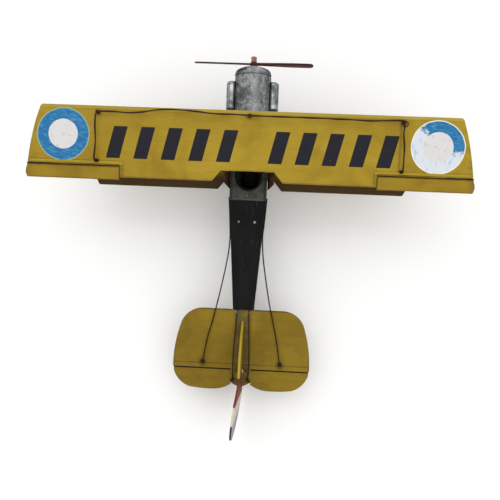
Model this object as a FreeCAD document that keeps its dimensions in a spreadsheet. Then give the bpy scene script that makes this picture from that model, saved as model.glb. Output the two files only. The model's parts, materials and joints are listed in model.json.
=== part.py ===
"""Free-standing sheet-metal biplane model: a two-seat trainer on wheels and a tail skid.

Airframe datum, in which every piece is drawn: +X to port, +Y aft, +Z up, origin on the centreline under the
upper wing's leading edge, at the height of the lower wing's flat underside.
Row frame, in which every piece is written: the same model standing on its wheels and skid, ground at Z = 0,
origin on the ground under the middle of the model's box.
"""

import FreeCAD, Part
import math
import os
import Sketcher

Vector = FreeCAD.Vector
Rotation = FreeCAD.Rotation
Placement = FreeCAD.Placement

# Driving dimensions, in millimetres and degrees.
SIZES = {
    "sheet_gauge": 0.6,  # thickness of the sheet metal
    "wire_radius": 0.45,  # bracing and control wires
    "running_gap": 0.05,  # radial clearance of everything that turns
    "panel_gap": 0.4,  # between a fixed surface and the moving one behind it
    "joint_gap": 0.25,  # between neighbouring pieces that only stand close
    # Wings
    "upper_span": 406.0,
    "lower_span": 312.0,
    "tip_rake": 12.5,  # how much wider the tip is at the trailing edge
    "wing_chord": 64.0,
    "wing_rise": 4.2,  # height of the camber above the flat underside
    "wing_gap": 62.5,  # underside of the lower wing to underside of the upper wing
    "stagger": 3.0,  # lower wing aft of the upper one
    "crest_place": 20.0,  # highest point of the camber behind the leading edge
    "edge_height": 1.6,  # height of the rolled leading and trailing edges
    "cutout_half": 24.0,  # centre cut-out at its forward edge
    "cutout_half_aft": 32.2,
    "cutout_depth": 9.8,
    # Ailerons
    "aileron_root": 115.7,
    "aileron_hinge": 54.5,
    "aileron_reach": 2.4,  # past the wing's trailing edge
    # Fuselage
    "body_half": 17.6,
    "stern_half": 6.5,
    "deck_height": 33.0,
    "deck_crown": 3.0,
    "nose_front": -48.8,
    "firewall_place": -2.0,
    "deck_end": 79.0,
    "tail_front": 184.2,
    "stern_place": 236.0,
    "stern_low": 16.0,  # height of the belly at the stern
    "tail_height": 29.0,  # top of the fuselage under the tailplane
    # Cockpits
    "cockpit_half": 13.2,
    "front_cockpit": 18.5,
    "rear_cockpit": 56.0,
    "rim_radius": 0.9,
    # Engine
    "thrust_height": 21.5,
    "bank_front": -35.6,
    "bank_length": 28.0,
    "bank_height": 22.0,
    "bank_radius": 6.0,
    "pipe_radius": 3.1,
    "pipe_end": 69.0,
    # Propeller
    "prop_radius": 57.3,
    "prop_place": -53.2,
    "blade_chord": 8.4,
    "blade_pitch": 10.0,
    "shaft_radius": 1.5,
    "boss_radius": 2.7,
    "boss_length": 5.2,
    # Tail
    "tail_half_span": 66.4,
    "tail_hinge": 243.5,
    "elevator_end": 262.7,
    "tail_round_front": 26.4,
    "tail_round_aft": 21.0,
    "tail_gauge": 2.2,
    "notch_half": 8.0,
    "notch_half_aft": 17.0,
    "fin_front": 195.4,
    "fin_rise": 40.6,
    "fin_gauge": 2.6,
    "rudder_reach": 61.0,  # hinge to the rudder's aft edge
    # Undercarriage
    "wheel_radius": 14.5,
    "tyre_radius": 3.2,
    "wheel_track": 66.0,
    "axle_place": 4.0,
    "axle_drop": 33.0,
    "axle_radius": 1.5,
    "skid_place": 222.0,
    "skid_drop": 5.0,
    "skid_radius": 1.4,
}

doc = FreeCAD.newDocument("BiplaneModel")
sheet = doc.addObject("Spreadsheet::Sheet", "Sizes")
for row, (alias, number) in enumerate(SIZES.items(), start=1):
    sheet.set(f"A{row}", alias)
    sheet.set(f"B{row}", str(number))
    sheet.setAlias(f"B{row}", alias)
doc.recompute()


class Dim:
    """A length or angle that carries its value and the sheet expression which gives it."""

    def __init__(self, value, text):
        self.value = value
        self.text = text

    def __add__(self, other):
        other = dim(other)
        return Dim(self.value + other.value, f"({self.text} + {other.text})")

    def __sub__(self, other):
        other = dim(other)
        return Dim(self.value - other.value, f"({self.text} - {other.text})")

    def __mul__(self, other):
        other = dim(other)
        return Dim(self.value * other.value, f"({self.text} * {other.text})")

    def __truediv__(self, other):
        other = dim(other)
        return Dim(self.value / other.value, f"({self.text} / {other.text})")

    def __neg__(self):
        return Dim(-self.value, f"(0 - {self.text})")

    def __radd__(self, other):
        return dim(other) + self

    def __rsub__(self, other):
        return dim(other) - self

    def __rmul__(self, other):
        return dim(other) * self

    def __float__(self):
        return float(self.value)


def dim(number):
    """A plain number as a Dim."""
    return number if isinstance(number, Dim) else Dim(float(number), f"({float(number)})")


def cell(alias):
    """A driving dimension from the sheet."""
    return Dim(float(sheet.get(alias)), f"Sizes.{alias}")


def at(x, y, z):
    """A point from Dims or numbers."""
    return Vector(float(x), float(y), float(z))


def bind(target, prop, amount):
    """Bind a property to its sheet expression."""
    target.setExpression(prop, dim(amount).text)


gauge = cell("sheet_gauge")
wire_radius = cell("wire_radius")
running_gap = cell("running_gap")
panel_gap = cell("panel_gap")
joint_gap = cell("joint_gap")

ROUND_CORNERS = 2  # how a swept wire turns its corners
PARTS = {}  # label: the document object that is that sub-part


def sub_part(label, thing):
    """Hold a finished piece under its node's name; the holder is what stands in the row frame later."""
    holder = doc.addObject("Part::Compound", "SubPart")
    holder.Label = label
    holder.Links = [thing]
    PARTS[label] = holder
    return thing


# Feature helpers ----------------------------------------------------------------------------------


def arc_between(start, end, radius):
    """The minor arc from start to end; a positive radius bulges to the right of travel."""
    chord = end - start
    size = abs(radius)
    middle = (start + end) * 0.5
    side = Vector(-chord.y, chord.x, 0).normalize()
    reach = math.sqrt(max(size**2 - (chord.Length / 2) ** 2, 0))
    centre = middle + side * math.copysign(reach, radius)
    circle = Part.Circle(centre, Vector(0, 0, 1), size)
    first, last = (start, end) if radius > 0 else (end, start)
    return Part.ArcOfCircle(circle, circle.parameter(first), circle.parameter(last))


def draw(body, plane_role, outline, lift=0):
    """A closed sketch on an origin plane; a corner is (u, v) or (u, v, radius of the arc to the next)."""
    plane = next(f for f in body.Origin.OriginFeatures if f.Role == plane_role)
    sketch = body.newObject("Sketcher::SketchObject", "Outline")
    sketch.AttachmentSupport = [(plane, "")]
    sketch.MapMode = "FlatFace"
    bind(sketch, "AttachmentOffset.Base.z", lift)
    corners = [at(corner[0], corner[1], 0) for corner in outline]
    count = len(outline)
    ends = []
    for index, corner in enumerate(outline):
        start, end = corners[index], corners[(index + 1) % count]
        if len(corner) > 2:
            sketch.addGeometry(arc_between(start, end, float(corner[2])), False)
            ends.append((1, 2) if float(corner[2]) > 0 else (2, 1))
        else:
            sketch.addGeometry(Part.LineSegment(start, end), False)
            ends.append((1, 2))
    for index in range(count):
        following = (index + 1) % count
        sketch.addConstraint(
            Sketcher.Constraint("Coincident", index, ends[index][1], following, ends[following][0])
        )
    for index, corner in enumerate(outline):
        for kind, amount in (("DistanceX", dim(corner[0])), ("DistanceY", dim(corner[1]))):
            rule = Sketcher.Constraint(kind, -1, 1, index, ends[index][0], float(amount))
            sketch.setExpression(f"Constraints[{sketch.addConstraint(rule)}]", amount.text)
        if len(corner) > 2:
            size = dim(corner[2]) if float(corner[2]) > 0 else -dim(corner[2])
            rule = Sketcher.Constraint("Radius", index, float(size))
            sketch.setExpression(f"Constraints[{sketch.addConstraint(rule)}]", size.text)
    return sketch


def pad(body, plane_role, outline, length, lift=0, middle=False):
    """A padded outline; with middle the pad reaches half its length to each side of the plane."""
    feature = body.newObject("PartDesign::Pad", "Pad")
    feature.Profile = draw(body, plane_role, outline, lift)
    bind(feature, "Length", length)
    if middle:
        feature.SideType = "Symmetric"
    return feature


def fillet(body, base, wanted, radius):
    """Round the edges of a feature whose middle and direction satisfy the test."""
    doc.recompute()
    names = []
    for index, edge in enumerate(base.Shape.Edges, start=1):
        middle = edge.valueAt((edge.FirstParameter + edge.LastParameter) / 2)
        along = edge.tangentAt((edge.FirstParameter + edge.LastParameter) / 2)
        if wanted(middle, along):
            names.append(f"Edge{index}")
    if not names:
        raise RuntimeError(f"{body.Label}: no edge to round")
    feature = body.newObject("PartDesign::Fillet", "Fillet")
    feature.Base = (base, names)
    bind(feature, "Radius", radius)
    return feature


def new_body(name="Body"):
    return doc.addObject("PartDesign::Body", name)


def plate(plane_role, outline, length, lift=0, middle=False):
    """A body that is one padded outline."""
    body = new_body("Plate")
    pad(body, plane_role, outline, length, lift, middle)
    return body


def turned(outline, place, direction, turn=360):
    """A body of revolution; the outline is (distance along the axis, radius) from a start point."""
    body = new_body("Turned")
    sketch = draw(body, "XY_Plane", outline)
    feature = body.newObject("PartDesign::Revolution", "Revolution")
    feature.Profile = sketch
    axis = next(f for f in body.Origin.OriginFeatures if f.Role == "X_Axis")
    feature.ReferenceAxis = (axis, [""])
    feature.Angle = turn
    body.Placement = Placement(place, Rotation(Vector(1, 0, 0), direction))
    return body


def rod(start, end, radius):
    """A round bar between two points."""
    bar = doc.addObject("Part::Cylinder", "Rod")
    bind(bar, "Radius", radius)
    bar.Height = (end - start).Length
    bar.Placement = Placement(start, Rotation(Vector(0, 0, 1), end - start))
    return bar


def tube(start, end, radius, bore):
    """A round bar with a round bore along it."""
    along = (end - start).normalize()
    return cut(rod(start, end, radius), rod(start - along, end + along, bore))


def block(low, lengths):
    """A box from its lowest corner and its three bound lengths."""
    solid = doc.addObject("Part::Box", "Block")
    for prop, amount in zip(("Length", "Width", "Height"), lengths):
        bind(solid, prop, amount)
    solid.Placement = Placement(low, Rotation())
    return solid


def ball(centre, radius):
    solid = doc.addObject("Part::Sphere", "Ball")
    bind(solid, "Radius", radius)
    solid.Placement = Placement(centre, Rotation())
    return solid


def cut(base, tool):
    result = doc.addObject("Part::Cut", "Cut")
    result.Base = base
    result.Tool = tool
    return result


def common(base, tool):
    result = doc.addObject("Part::Common", "Common")
    result.Base = base
    result.Tool = tool
    return result


def fuse(*shapes):
    result = doc.addObject("Part::MultiFuse", "Fuse")
    result.Shapes = list(shapes)
    return result


def group(*shapes):
    """Separate solids kept side by side in one sub-part."""
    result = doc.addObject("Part::Compound", "Group")
    result.Links = list(shapes)
    return result


def mirrored(source):
    """The same piece on the other side of the centreline."""
    result = doc.addObject("Part::Mirroring", "Mirror")
    result.Source = source
    result.Base = Vector(0, 0, 0)
    result.Normal = Vector(1, 0, 0)
    return result


def arch_radius(half_width, rise):
    """Radius of the arc over a base of twice half_width that rises by rise."""
    return (half_width * half_width + rise * rise) / (rise * 2)


def rolled_sheet(half_width, base, crown):
    """Section of a curved sheet whose edges stand on base: an outer and an inner arc, (x, z)."""
    inner_half = half_width - gauge
    return [
        (half_width, base, arch_radius(half_width, crown)),
        (-half_width, base),
        (-inner_half, base, -arch_radius(inner_half, crown - gauge)),
        (inner_half, base),
    ]


def along_y(outline, front, rear):
    """A body whose (x, z) outline runs from front to rear."""
    return plate("XZ_Plane", outline, rear - front, lift=-(front + rear) / 2, middle=True)


def along_x(outline, left, right):
    """A body whose (y, z) outline runs from one x to another."""
    return plate("YZ_Plane", outline, right - left, lift=(left + right) / 2, middle=True)


# Fuselage -----------------------------------------------------------------------------------------

half = cell("body_half")
stern_half = cell("stern_half")
deck = cell("deck_height")
crown = cell("deck_crown")
firewall = cell("firewall_place")
deck_end = cell("deck_end")
tail_front = cell("tail_front")
stern = cell("stern_place")
stern_low = cell("stern_low")
tail_height = cell("tail_height")
BELOW = 20  # how far cutting tools reach past what they cut
taper_run = stern - deck_end


def hull(inset, open_top):
    """The fuselage's form behind the firewall, drawn in by inset; open_top takes it past the deck."""
    rise = BELOW if open_top else 0
    side = along_x(
        [
            (firewall + inset, inset),
            (deck_end, inset),
            (stern - inset, stern_low + inset),
            (stern - inset, tail_height + rise),
            (tail_front, tail_height + rise),
            (deck_end, deck + rise),
            (firewall + inset, deck + rise),
        ],
        -half,
        half,
    )
    wide = half - inset
    narrow = stern_half - inset
    plan = plate(
        "XY_Plane",
        [(-wide, 0), (wide, 0), (wide, deck_end), (narrow, stern), (-narrow, stern), (-wide, deck_end)],
        (deck + BELOW) * 2,
        middle=True,
    )
    return common(side, plan)


envelope = hull(dim(0), False)
sub_part("fuselage_shell", cut(envelope, hull(gauge, True)))


def opening(place, inset, low, high):
    """A round-ended cockpit opening as a solid plug; inset draws it in."""
    reach = cell("cockpit_half") - inset
    front = place - 2.5
    rear = place + 1.0
    ends = [rod(at(0, end, low), at(0, end, high), reach) for end in (front, rear)]
    middle = block(at(-reach, front, low), (reach * 2, rear - front, high - low))
    return fuse(middle, *ends)


front_cockpit = cell("front_cockpit")
rear_cockpit = cell("rear_cockpit")
rim_radius = cell("rim_radius")
deck_sheet = along_y(rolled_sheet(half, deck, crown), firewall, deck_end)
holes = fuse(
    opening(front_cockpit, 0, deck - 5, deck + 10),
    opening(rear_cockpit, 0, deck - 5, deck + 10),
)
sub_part("cockpit_deck", cut(deck_sheet, holes))

rim_height = rim_radius * 2
for name, place in (("front_cockpit_rim", front_cockpit), ("rear_cockpit_rim", rear_cockpit)):
    # The rim lines the opening: a ring as deep as the deck's crown and its own height.
    ring = cut(
        opening(place, 0, deck - 1, deck + crown + rim_height),
        opening(place, gauge * 1.5, deck - 2, deck + crown + BELOW),
    )
    crest = along_y(
        [
            (half, deck + rim_radius, arch_radius(half, crown)),
            (-half, deck + rim_radius),
            (-half, deck - 0.5),
            (half, deck - 0.5),
        ],
        firewall,
        deck_end,
    )
    sub_part(name, common(ring, crest))

turtle = new_body("Turtledeck")
turtle_front = draw(turtle, "XZ_Plane", rolled_sheet(half, deck, crown), lift=-deck_end)
turtle_half = half - (half - stern_half) * (tail_front - deck_end) / taper_run
turtle_rear = draw(
    turtle, "XZ_Plane", rolled_sheet(turtle_half, tail_height, crown / 2), lift=-tail_front
)
turtle_loft = turtle.newObject("PartDesign::AdditiveLoft", "Loft")
turtle_loft.Profile = turtle_front
turtle_loft.Sections = [turtle_rear]
sub_part("turtledeck", turtle)


def deck_envelope():
    """Everything the fuselage fills, with the crown of its two decks."""
    front_section = [(half, deck, arch_radius(half, crown)), (-half, deck), (-half, gauge), (half, gauge)]
    front_half = along_y(front_section, firewall, deck_end)
    rear_half = new_body("Envelope")
    joint_section = [(half, deck, arch_radius(half, crown)), (-half, deck), (-half, 1), (half, 1)]
    rear_section = [
        (turtle_half, tail_height, arch_radius(turtle_half, crown / 2)),
        (-turtle_half, tail_height),
        (-turtle_half, stern_low),
        (turtle_half, stern_low),
    ]
    loft = rear_half.newObject("PartDesign::AdditiveLoft", "Loft")
    loft.Profile = draw(rear_half, "XZ_Plane", joint_section, lift=-deck_end)
    loft.Sections = [draw(rear_half, "XZ_Plane", rear_section, lift=-tail_front)]
    return fuse(envelope, front_half, rear_half)


body_envelope = deck_envelope()

# Two dome rivets on the turtledeck and a small one at the rear of the cockpit deck.
rivet_domes = [ball(at(side * 7.6, 99.5, deck + 1.35), 1.3) for side in (-1, 1)]
rivet_domes.append(ball(at(0.5, 74.6, deck + crown - 0.15), 0.9))
sub_part("deck_rivets", cut(group(*rivet_domes), body_envelope))

# Bulkhead behind the engine, inside the shell's front end.
firewall_gauge = 1.0
wall_front = firewall + gauge
sub_part(
    "firewall",
    along_y(
        [(half - gauge, gauge), (half - gauge, deck), (-half + gauge, deck), (-half + gauge, gauge)],
        wall_front,
        wall_front + firewall_gauge,
    ),
)


def seat(place):
    """A folded seat: a pan on a pedestal with a backrest leaning aft."""
    seat_half = 8.5
    pan_height = 16.0
    pan = along_x(
        [
            (place - 8, pan_height),
            (place + 7, pan_height - 1),
            (place + 11, deck - 5),
            (place + 9.8, deck - 4.6),
            (place + 6, pan_height + 0.2),
            (place - 8, pan_height + 1.2),
        ],
        -seat_half,
        seat_half,
    )
    pedestal = block(at(-5, place - 5, gauge), (10, 8, pan_height - gauge))
    return fuse(pan, pedestal)


sub_part("front_seat", seat(front_cockpit - 2))
sub_part("rear_seat", seat(rear_cockpit - 2))

# Stern post: closes the shell's end and carries the rudder's lower hinge.
tail_hinge = cell("tail_hinge")
fin_gauge = cell("fin_gauge")
rudder_nose = fin_gauge / 2
post_rear = tail_hinge - rudder_nose - panel_gap
notch_half = 2.2


def knuckles(places, spot, direction, radius, web):
    """Hinge eyes: short tubes round the hinge wire at each place, each joined by its web block."""
    width = 3.6
    pieces = []
    for place in places:
        middle = spot + direction * float(place)
        pieces.append(rod(middle - direction * (width / 2), middle + direction * (width / 2), radius))
        pieces.append(web(place, width))
    return pieces


# Engine -------------------------------------------------------------------------------------------

nose_front = cell("nose_front")
nose_gauge = 6.6
nose_round = 3.0  # radius of the nose cap's front edge
thrust_height = cell("thrust_height")
shaft_radius = cell("shaft_radius")
cowl_shoulder = deck - 7
cowl_rise = crown + 7


def cowl_section(inset):
    """Flat sides and belly under a high arched top."""
    wide = half - inset
    return [
        (wide, cowl_shoulder, arch_radius(wide, cowl_rise - inset)),
        (-wide, cowl_shoulder),
        (-wide, inset),
        (wide, inset),
    ]


cowl_outer = along_y(cowl_section(0), nose_front + nose_gauge, firewall)
cowl_inner = along_y(cowl_section(gauge), nose_front, firewall + 1)
sub_part("engine_cowl", cut(cowl_outer, cowl_inner))

bush_radius = shaft_radius + 1.2
nose_solid = new_body("NosePlate")
nose_pad = pad(nose_solid, "XZ_Plane", cowl_section(0), nose_gauge, -(nose_front + nose_gauge / 2), True)
fillet(
    nose_solid,
    nose_pad,
    lambda middle, along: abs(middle.y - float(nose_front)) < 0.01 and middle.z > 2,
    nose_round,
)
bush_hole = rod(at(0, nose_front - 1, thrust_height), at(0, nose_front + nose_gauge + 1, thrust_height), bush_radius)
sub_part("nose_plate", cut(nose_solid, bush_hole))
bush_rear = nose_front + nose_gauge + 1.5
sub_part(
    "shaft_bush",
    tube(
        at(0, nose_front - 0.6, thrust_height),
        at(0, bush_rear, thrust_height),
        bush_radius,
        shaft_radius + running_gap,
    ),
)

bank_front = cell("bank_front")
bank_length = cell("bank_length")
bank_height = cell("bank_height")
bank_radius = cell("bank_radius")
bank_out = half + 1.7
pipe_radius = cell("pipe_radius")
bank_rear = bank_front + bank_length
pipe_offset = half + pipe_radius + 0.6


def cylinder_bank():
    """The port bank: a rounded casing on the cowl's side with four grooves round it."""
    body = turned(
        [
            (0, 0),
            (bank_length, 0),
            (bank_length, bank_radius),
            (2.5, bank_radius, 40),
            (0, bank_radius * 0.55),
        ],
        at(bank_out, bank_front, bank_height),
        Vector(0, 1, 0),
    )
    grooves = []
    for place in (6.5, 12.0, 17.5, 23.0):
        ring = doc.addObject("Part::Torus", "Groove")
        bind(ring, "Radius1", bank_radius + 0.2)
        ring.Radius2 = 0.55
        ring.Placement = Placement(
            at(bank_out, bank_front + place, bank_height), Rotation(Vector(0, 0, 1), Vector(0, 1, 0))
        )
        grooves.append(ring)
    inboard = block(at(0, bank_front - 5, 0), (half, bank_length + 10, 60))
    return cut(cut(body, fuse(*grooves)), inboard)


def exhaust_pipe():
    """The port pipe: out of the bank's rear end, aft along the fuselage side, open end cut at a slant."""
    height = bank_height - 1.0
    pipe_end = cell("pipe_end")
    path_start = at(pipe_offset, bank_rear, height)
    outer = rod(path_start, at(pipe_offset, pipe_end, height), pipe_radius)
    bore = rod(
        at(pipe_offset, pipe_end - 22, height), at(pipe_offset, pipe_end + 1, height), pipe_radius - gauge
    )
    slant = plate(
        "XY_Plane",
        [
            (pipe_offset - 5, pipe_end + 1),
            (pipe_offset + 5, pipe_end - 9),
            (pipe_offset + 5, pipe_end + 5),
            (pipe_offset - 5, pipe_end + 5),
        ],
        30,
        lift=height,
        middle=True,
    )
    return cut(outer, fuse(bore, slant))


left_bank = sub_part("left_cylinder_bank", cylinder_bank())
sub_part("right_cylinder_bank", mirrored(left_bank))
left_pipe = sub_part("left_exhaust_pipe", exhaust_pipe())
sub_part("right_exhaust_pipe", mirrored(left_pipe))

# Propeller ----------------------------------------------------------------------------------------

prop_place = cell("prop_place")
prop_radius = cell("prop_radius")
blade_chord = cell("blade_chord")
blade_pitch = cell("blade_pitch")
boss_radius = cell("boss_radius")
boss_length = cell("boss_length")
blade_gauge = 1.6
root_width = boss_radius * 2


def blade(side):
    """One blade along X, drawn flat in X and Z, then turned about its own length to its pitch."""
    tip = prop_radius
    outline = [
        (0, -root_width / 2),
        (tip * 0.3, -root_width / 2),
        (tip * 0.72, -blade_chord / 2),
        (tip - 1.5, -blade_chord / 2),
        (tip, -blade_chord / 2 + 2.5),
        (tip, blade_chord / 2 - 3.5),
        (tip - 2.5, blade_chord / 2),
        (tip * 0.72, blade_chord / 2),
        (tip * 0.3, root_width / 2),
        (0, root_width / 2),
    ]
    body = plate("XZ_Plane", [(x * side, z) for x, z in outline], blade_gauge, middle=True)
    twist = Rotation(Vector(1, 0, 0), -float(blade_pitch) * side)
    body.Placement = Placement(at(0, prop_place, thrust_height), twist)
    return body


hub_front = prop_place - 1.7
hub_rear = prop_place + 1.7
hub_disc = rod(at(0, hub_front, thrust_height), at(0, hub_rear, thrust_height), boss_radius + 0.8)
shaft_bore = rod(at(0, hub_front - 2, thrust_height), at(0, hub_rear + 2, thrust_height), shaft_radius)
sub_part("propeller", cut(fuse(blade(1), blade(-1), hub_disc), shaft_bore))

boss = turned(
    [(0, 0), (boss_length, 0), (boss_length, boss_radius), (0.7, boss_radius), (0, boss_radius - 0.7)],
    at(0, hub_front - boss_length, thrust_height),
    Vector(0, 1, 0),
)
thread_length = 3.0
thread_end = at(0, hub_front - thread_length, thrust_height)
boss_bore = rod(thread_end, at(0, hub_front + 1, thrust_height), shaft_radius)
sub_part("propeller_boss", cut(boss, boss_bore))
washer_front = hub_rear
washer_rear = nose_front - 0.6 - joint_gap
washer_radius = boss_radius + 1.0
washer = tube(
    at(0, washer_front, thrust_height),
    at(0, washer_rear, thrust_height),
    washer_radius,
    shaft_radius,
)
sub_part("thrust_washer", washer)
collar_front = bush_rear + joint_gap
sub_part(
    "shaft_collar",
    tube(at(0, collar_front, thrust_height), at(0, collar_front + 3, thrust_height), 3.2, shaft_radius),
)
sub_part(
    "propeller_shaft",
    rod(thread_end, at(0, collar_front + 4, thrust_height), shaft_radius),
)

# Wings --------------------------------------------------------------------------------------------

chord = cell("wing_chord")
rise = cell("wing_rise")
wing_gap = cell("wing_gap")
stagger = cell("stagger")
crest = cell("crest_place")
edge_height = cell("edge_height")
tail_edge_height = 1.0
rake = cell("tip_rake")
aileron_root = cell("aileron_root")
aileron_hinge = cell("aileron_hinge")
aileron_reach = cell("aileron_reach")
hinge_nose = 1.1  # radius of the rolled edge round the ailerons' hinge wires
cutout_half = cell("cutout_half")
cutout_aft = cell("cutout_half_aft")
cutout_depth = cell("cutout_depth")


def wing_bar(half_span, place, height, inset, floor):
    """The wing's cambered section run along the whole span; inset draws its surface inward."""
    front = place + inset
    rear = place + chord - inset
    top = height + rise - inset
    nose = height + edge_height - inset
    tail = height + tail_edge_height - inset
    peak = place + crest
    front_run = peak - front
    rear_run = rear - peak
    front_rise = top - nose
    rear_rise = top - tail
    return along_x(
        [
            (front, floor),
            (rear, floor),
            (rear, tail, (rear_run * rear_run + rear_rise * rear_rise) / (rear_rise * 2)),
            (peak, top, (front_run * front_run + front_rise * front_rise) / (front_rise * 2)),
            (front, nose),
        ],
        -half_span,
        half_span,
    )


def upper_plan(inset):
    """Half of the fixed upper wing's outline (x, y), from its leading edge round to the cut-out."""
    tip_front = cell("upper_span") / 2 - rake - inset
    aileron_edge = aileron_hinge - hinge_nose - panel_gap - inset
    tip_rear = tip_front + rake * 0.82
    rear = chord - inset
    root = aileron_root - inset
    return [
        (tip_front - 2, inset),
        (tip_front, inset + 3, 400),
        (tip_rear, aileron_edge),
        (root, aileron_edge),
        (root, rear),
        (cutout_aft + inset, rear),
        (cutout_half + inset, rear - cutout_depth),
    ]


def lower_plan(inset):
    """The port lower wing's outline (x, y), from the root leading edge round to the root."""
    tip = cell("lower_span") / 2 - inset
    root = half + inset
    front = stagger + inset
    rear = stagger + chord - inset
    return [
        (root, front),
        (tip - 9, front),
        (tip - 2, front + 3),
        (tip, rear - 8),
        (tip - 4, rear),
        (cutout_aft + inset, rear),
        (cutout_half + inset, rear - cutout_depth),
        (root, rear - cutout_depth),
    ]


spar_gauge = 1.2
spar_places = (14, 42)


def fixed_wing(outline, half_span, place, height):
    """A cambered skin with closed edges, a flat underside sheet and the two spars inside."""
    def trim(bar, corners):
        return common(bar, plate("XY_Plane", corners, rise + 2, lift=height - 1))

    solid = trim(wing_bar(half_span, place, height, 0, height), outline(0))
    skin_solid = trim(wing_bar(half_span, place, height, 0, height + gauge), outline(0))
    hollow = trim(wing_bar(half_span, place, height, gauge, height + gauge), outline(gauge))
    underside = cut(solid, plate("XY_Plane", box_round(half_span, place), rise + 2, lift=height + gauge))
    bars = [
        block(at(-half_span, place + spot, height + gauge), (half_span * 2, spar_gauge, rise))
        for spot in spar_places
    ]
    return solid, cut(skin_solid, hollow), underside, common(hollow, group(*bars))


def box_round(half_span, place):
    """A rectangle that takes in a whole wing."""
    return [
        (-half_span, place - 1),
        (half_span, place - 1),
        (half_span, place + chord + 1),
        (-half_span, place + chord + 1),
    ]


def upper_outline(inset):
    """The whole upper wing's outline, both halves."""
    return mirror_plan(upper_plan(inset))


def mirror_plan(corners):
    """A half outline closed by its mirror image; an arc on one side stays an arc on the other."""
    other = []
    count = len(corners)
    for index in range(count - 1, -1, -1):
        corner = corners[index]
        before = corners[index - 1] if index else ()
        other.append((-corner[0], corner[1]) + (tuple(before[2:]) if len(before) > 2 else ()))
    return list(corners) + other


upper_half_span = cell("upper_span") / 2 + 2
upper_solid, upper_skin, upper_under, upper_spars = fixed_wing(
    upper_outline, upper_half_span, dim(0), wing_gap
)
lower_half_span = cell("lower_span") / 2 + 2
left_solid, left_skin, left_under, left_spars = fixed_wing(lower_plan, lower_half_span, stagger, dim(0))


def eye_web(front, rear, low, high):
    """A web maker for hinge eyes along X."""
    return lambda place, width: block(at(place - width / 2, front, low), (width, rear - front, high - low))


hinge_height = wing_gap + hinge_nose
aileron_eyes = (126.0, 158.0, 187.0)
both_sides = [side * place for side in (-1, 1) for place in aileron_eyes]
aileron_edge = aileron_hinge - hinge_nose - panel_gap
aileron_pieces = knuckles(
    both_sides,
    at(0, aileron_hinge, hinge_height),
    Vector(1, 0, 0),
    dim(hinge_nose),
    eye_web(aileron_edge - gauge / 2, aileron_hinge, wing_gap + gauge, wing_gap + hinge_nose * 2 - 0.4),
)
wire_ends = [(side * (aileron_root + 2.5), side * (cell("upper_span") / 2 - 6)) for side in (-1, 1)]
aileron_wires = [
    rod(at(inner, aileron_hinge, hinge_height), at(outer, aileron_hinge, hinge_height), wire_radius)
    for inner, outer in wire_ends
]
sub_part("upper_wing_skin", cut(fuse(upper_skin, *aileron_pieces), fuse(*aileron_wires)))
sub_part("upper_wing_underside", upper_under)
sub_part("upper_wing_spars", upper_spars)
sub_part("left_lower_wing_skin", left_skin)
sub_part("left_lower_wing_underside", left_under)
sub_part("right_lower_wing_skin", mirrored(left_skin))
sub_part("right_lower_wing_underside", mirrored(left_under))
sub_part("lower_wing_spars", group(left_spars, mirrored(left_spars)))


def aileron():
    """The port aileron: a thin wedge behind a rolled edge, notched round the wing's hinge eyes."""
    rear = chord + aileron_reach
    wedge = along_x(
        [
            (aileron_hinge, wing_gap),
            (rear, wing_gap + 0.2),
            (rear, wing_gap + 1.0),
            (aileron_hinge, wing_gap + hinge_nose * 2),
        ],
        aileron_root + joint_gap,
        cell("upper_span") / 2 + 2,
    )
    tip = cell("upper_span") / 2
    nose = rod(
        at(aileron_root + joint_gap, aileron_hinge, hinge_height),
        at(tip, aileron_hinge, hinge_height),
        hinge_nose,
    )
    plan = plate(
        "XY_Plane",
        [
            (aileron_root, aileron_hinge - 3),
            (tip - rake * 0.16, aileron_hinge - 3),
            (tip, rear - 6),
            (tip - 1.8, rear + 1),
            (aileron_root, rear + 1),
        ],
        10,
        lift=wing_gap - 3,
    )
    notches = [
        block(at(place - notch_half, aileron_hinge - 3, wing_gap - 2), (notch_half * 2, 3.5 + hinge_nose, 8))
        for place in aileron_eyes
    ]
    bore = rod(
        at(aileron_root - 1, aileron_hinge, hinge_height),
        at(tip + 1, aileron_hinge, hinge_height),
        wire_radius + running_gap,
    )
    return cut(common(fuse(wedge, nose), plan), fuse(bore, *notches))


left_aileron = sub_part("left_aileron", aileron())
sub_part("right_aileron", mirrored(left_aileron))

# Struts, posts and wires ----------------------------------------------------------------------------

post_out = 136.7  # outer struts and the posts above them
inner_out = 72.0
strut_places = (9.0, 50.0)
lower_solids = fuse(left_solid, mirrored(left_solid))
top_gap = block(at(-220, -10, -20), (440, 120, wing_gap + 20))


def lens(x, y, low, high):
    """A streamlined upright from low to high: two arcs meeting in a sharp front and rear edge."""
    strut_chord = 5.6
    strut_round = 4.4
    body = plate(
        "XY_Plane",
        [
            (x - 0.3, y - strut_chord / 2),
            (x + 0.3, y - strut_chord / 2, strut_round),
            (x + 0.3, y + strut_chord / 2),
            (x - 0.3, y + strut_chord / 2, strut_round),
        ],
        high - low,
        lift=low,
    )
    return body


uprights = [
    lens(side * out, y, dim(0.5), wing_gap)
    for side in (-1, 1)
    for out in (inner_out, post_out)
    for y in strut_places
]
sub_part("interplane_struts", cut(group(*uprights), lower_solids))

cabane_foot = half - 3.0
cabane_rods = [
    rod(at(side * cabane_foot, y, deck - 2), at(side * (cabane_foot + 4), y, wing_gap + 2), 1.3)
    for side in (-1, 1)
    for y in (8.0, 47.0)
]
sub_part("cabane_struts", common(cut(group(*cabane_rods), fuse(body_envelope, holes)), top_gap))


def crossed(inner, outer, y):
    """Two wires crossing in one bay, each clear of the struts and of the other."""
    clear = 3.0
    low = gauge + 0.5
    high = wing_gap + 1
    return [
        rod(at(inner, y - 0.55, low), at(outer - clear, y - 0.55, high), wire_radius * 0.8),
        rod(at(inner, y + 0.55, high), at(outer - clear, y + 0.55, low), wire_radius * 0.8),
    ]


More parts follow.
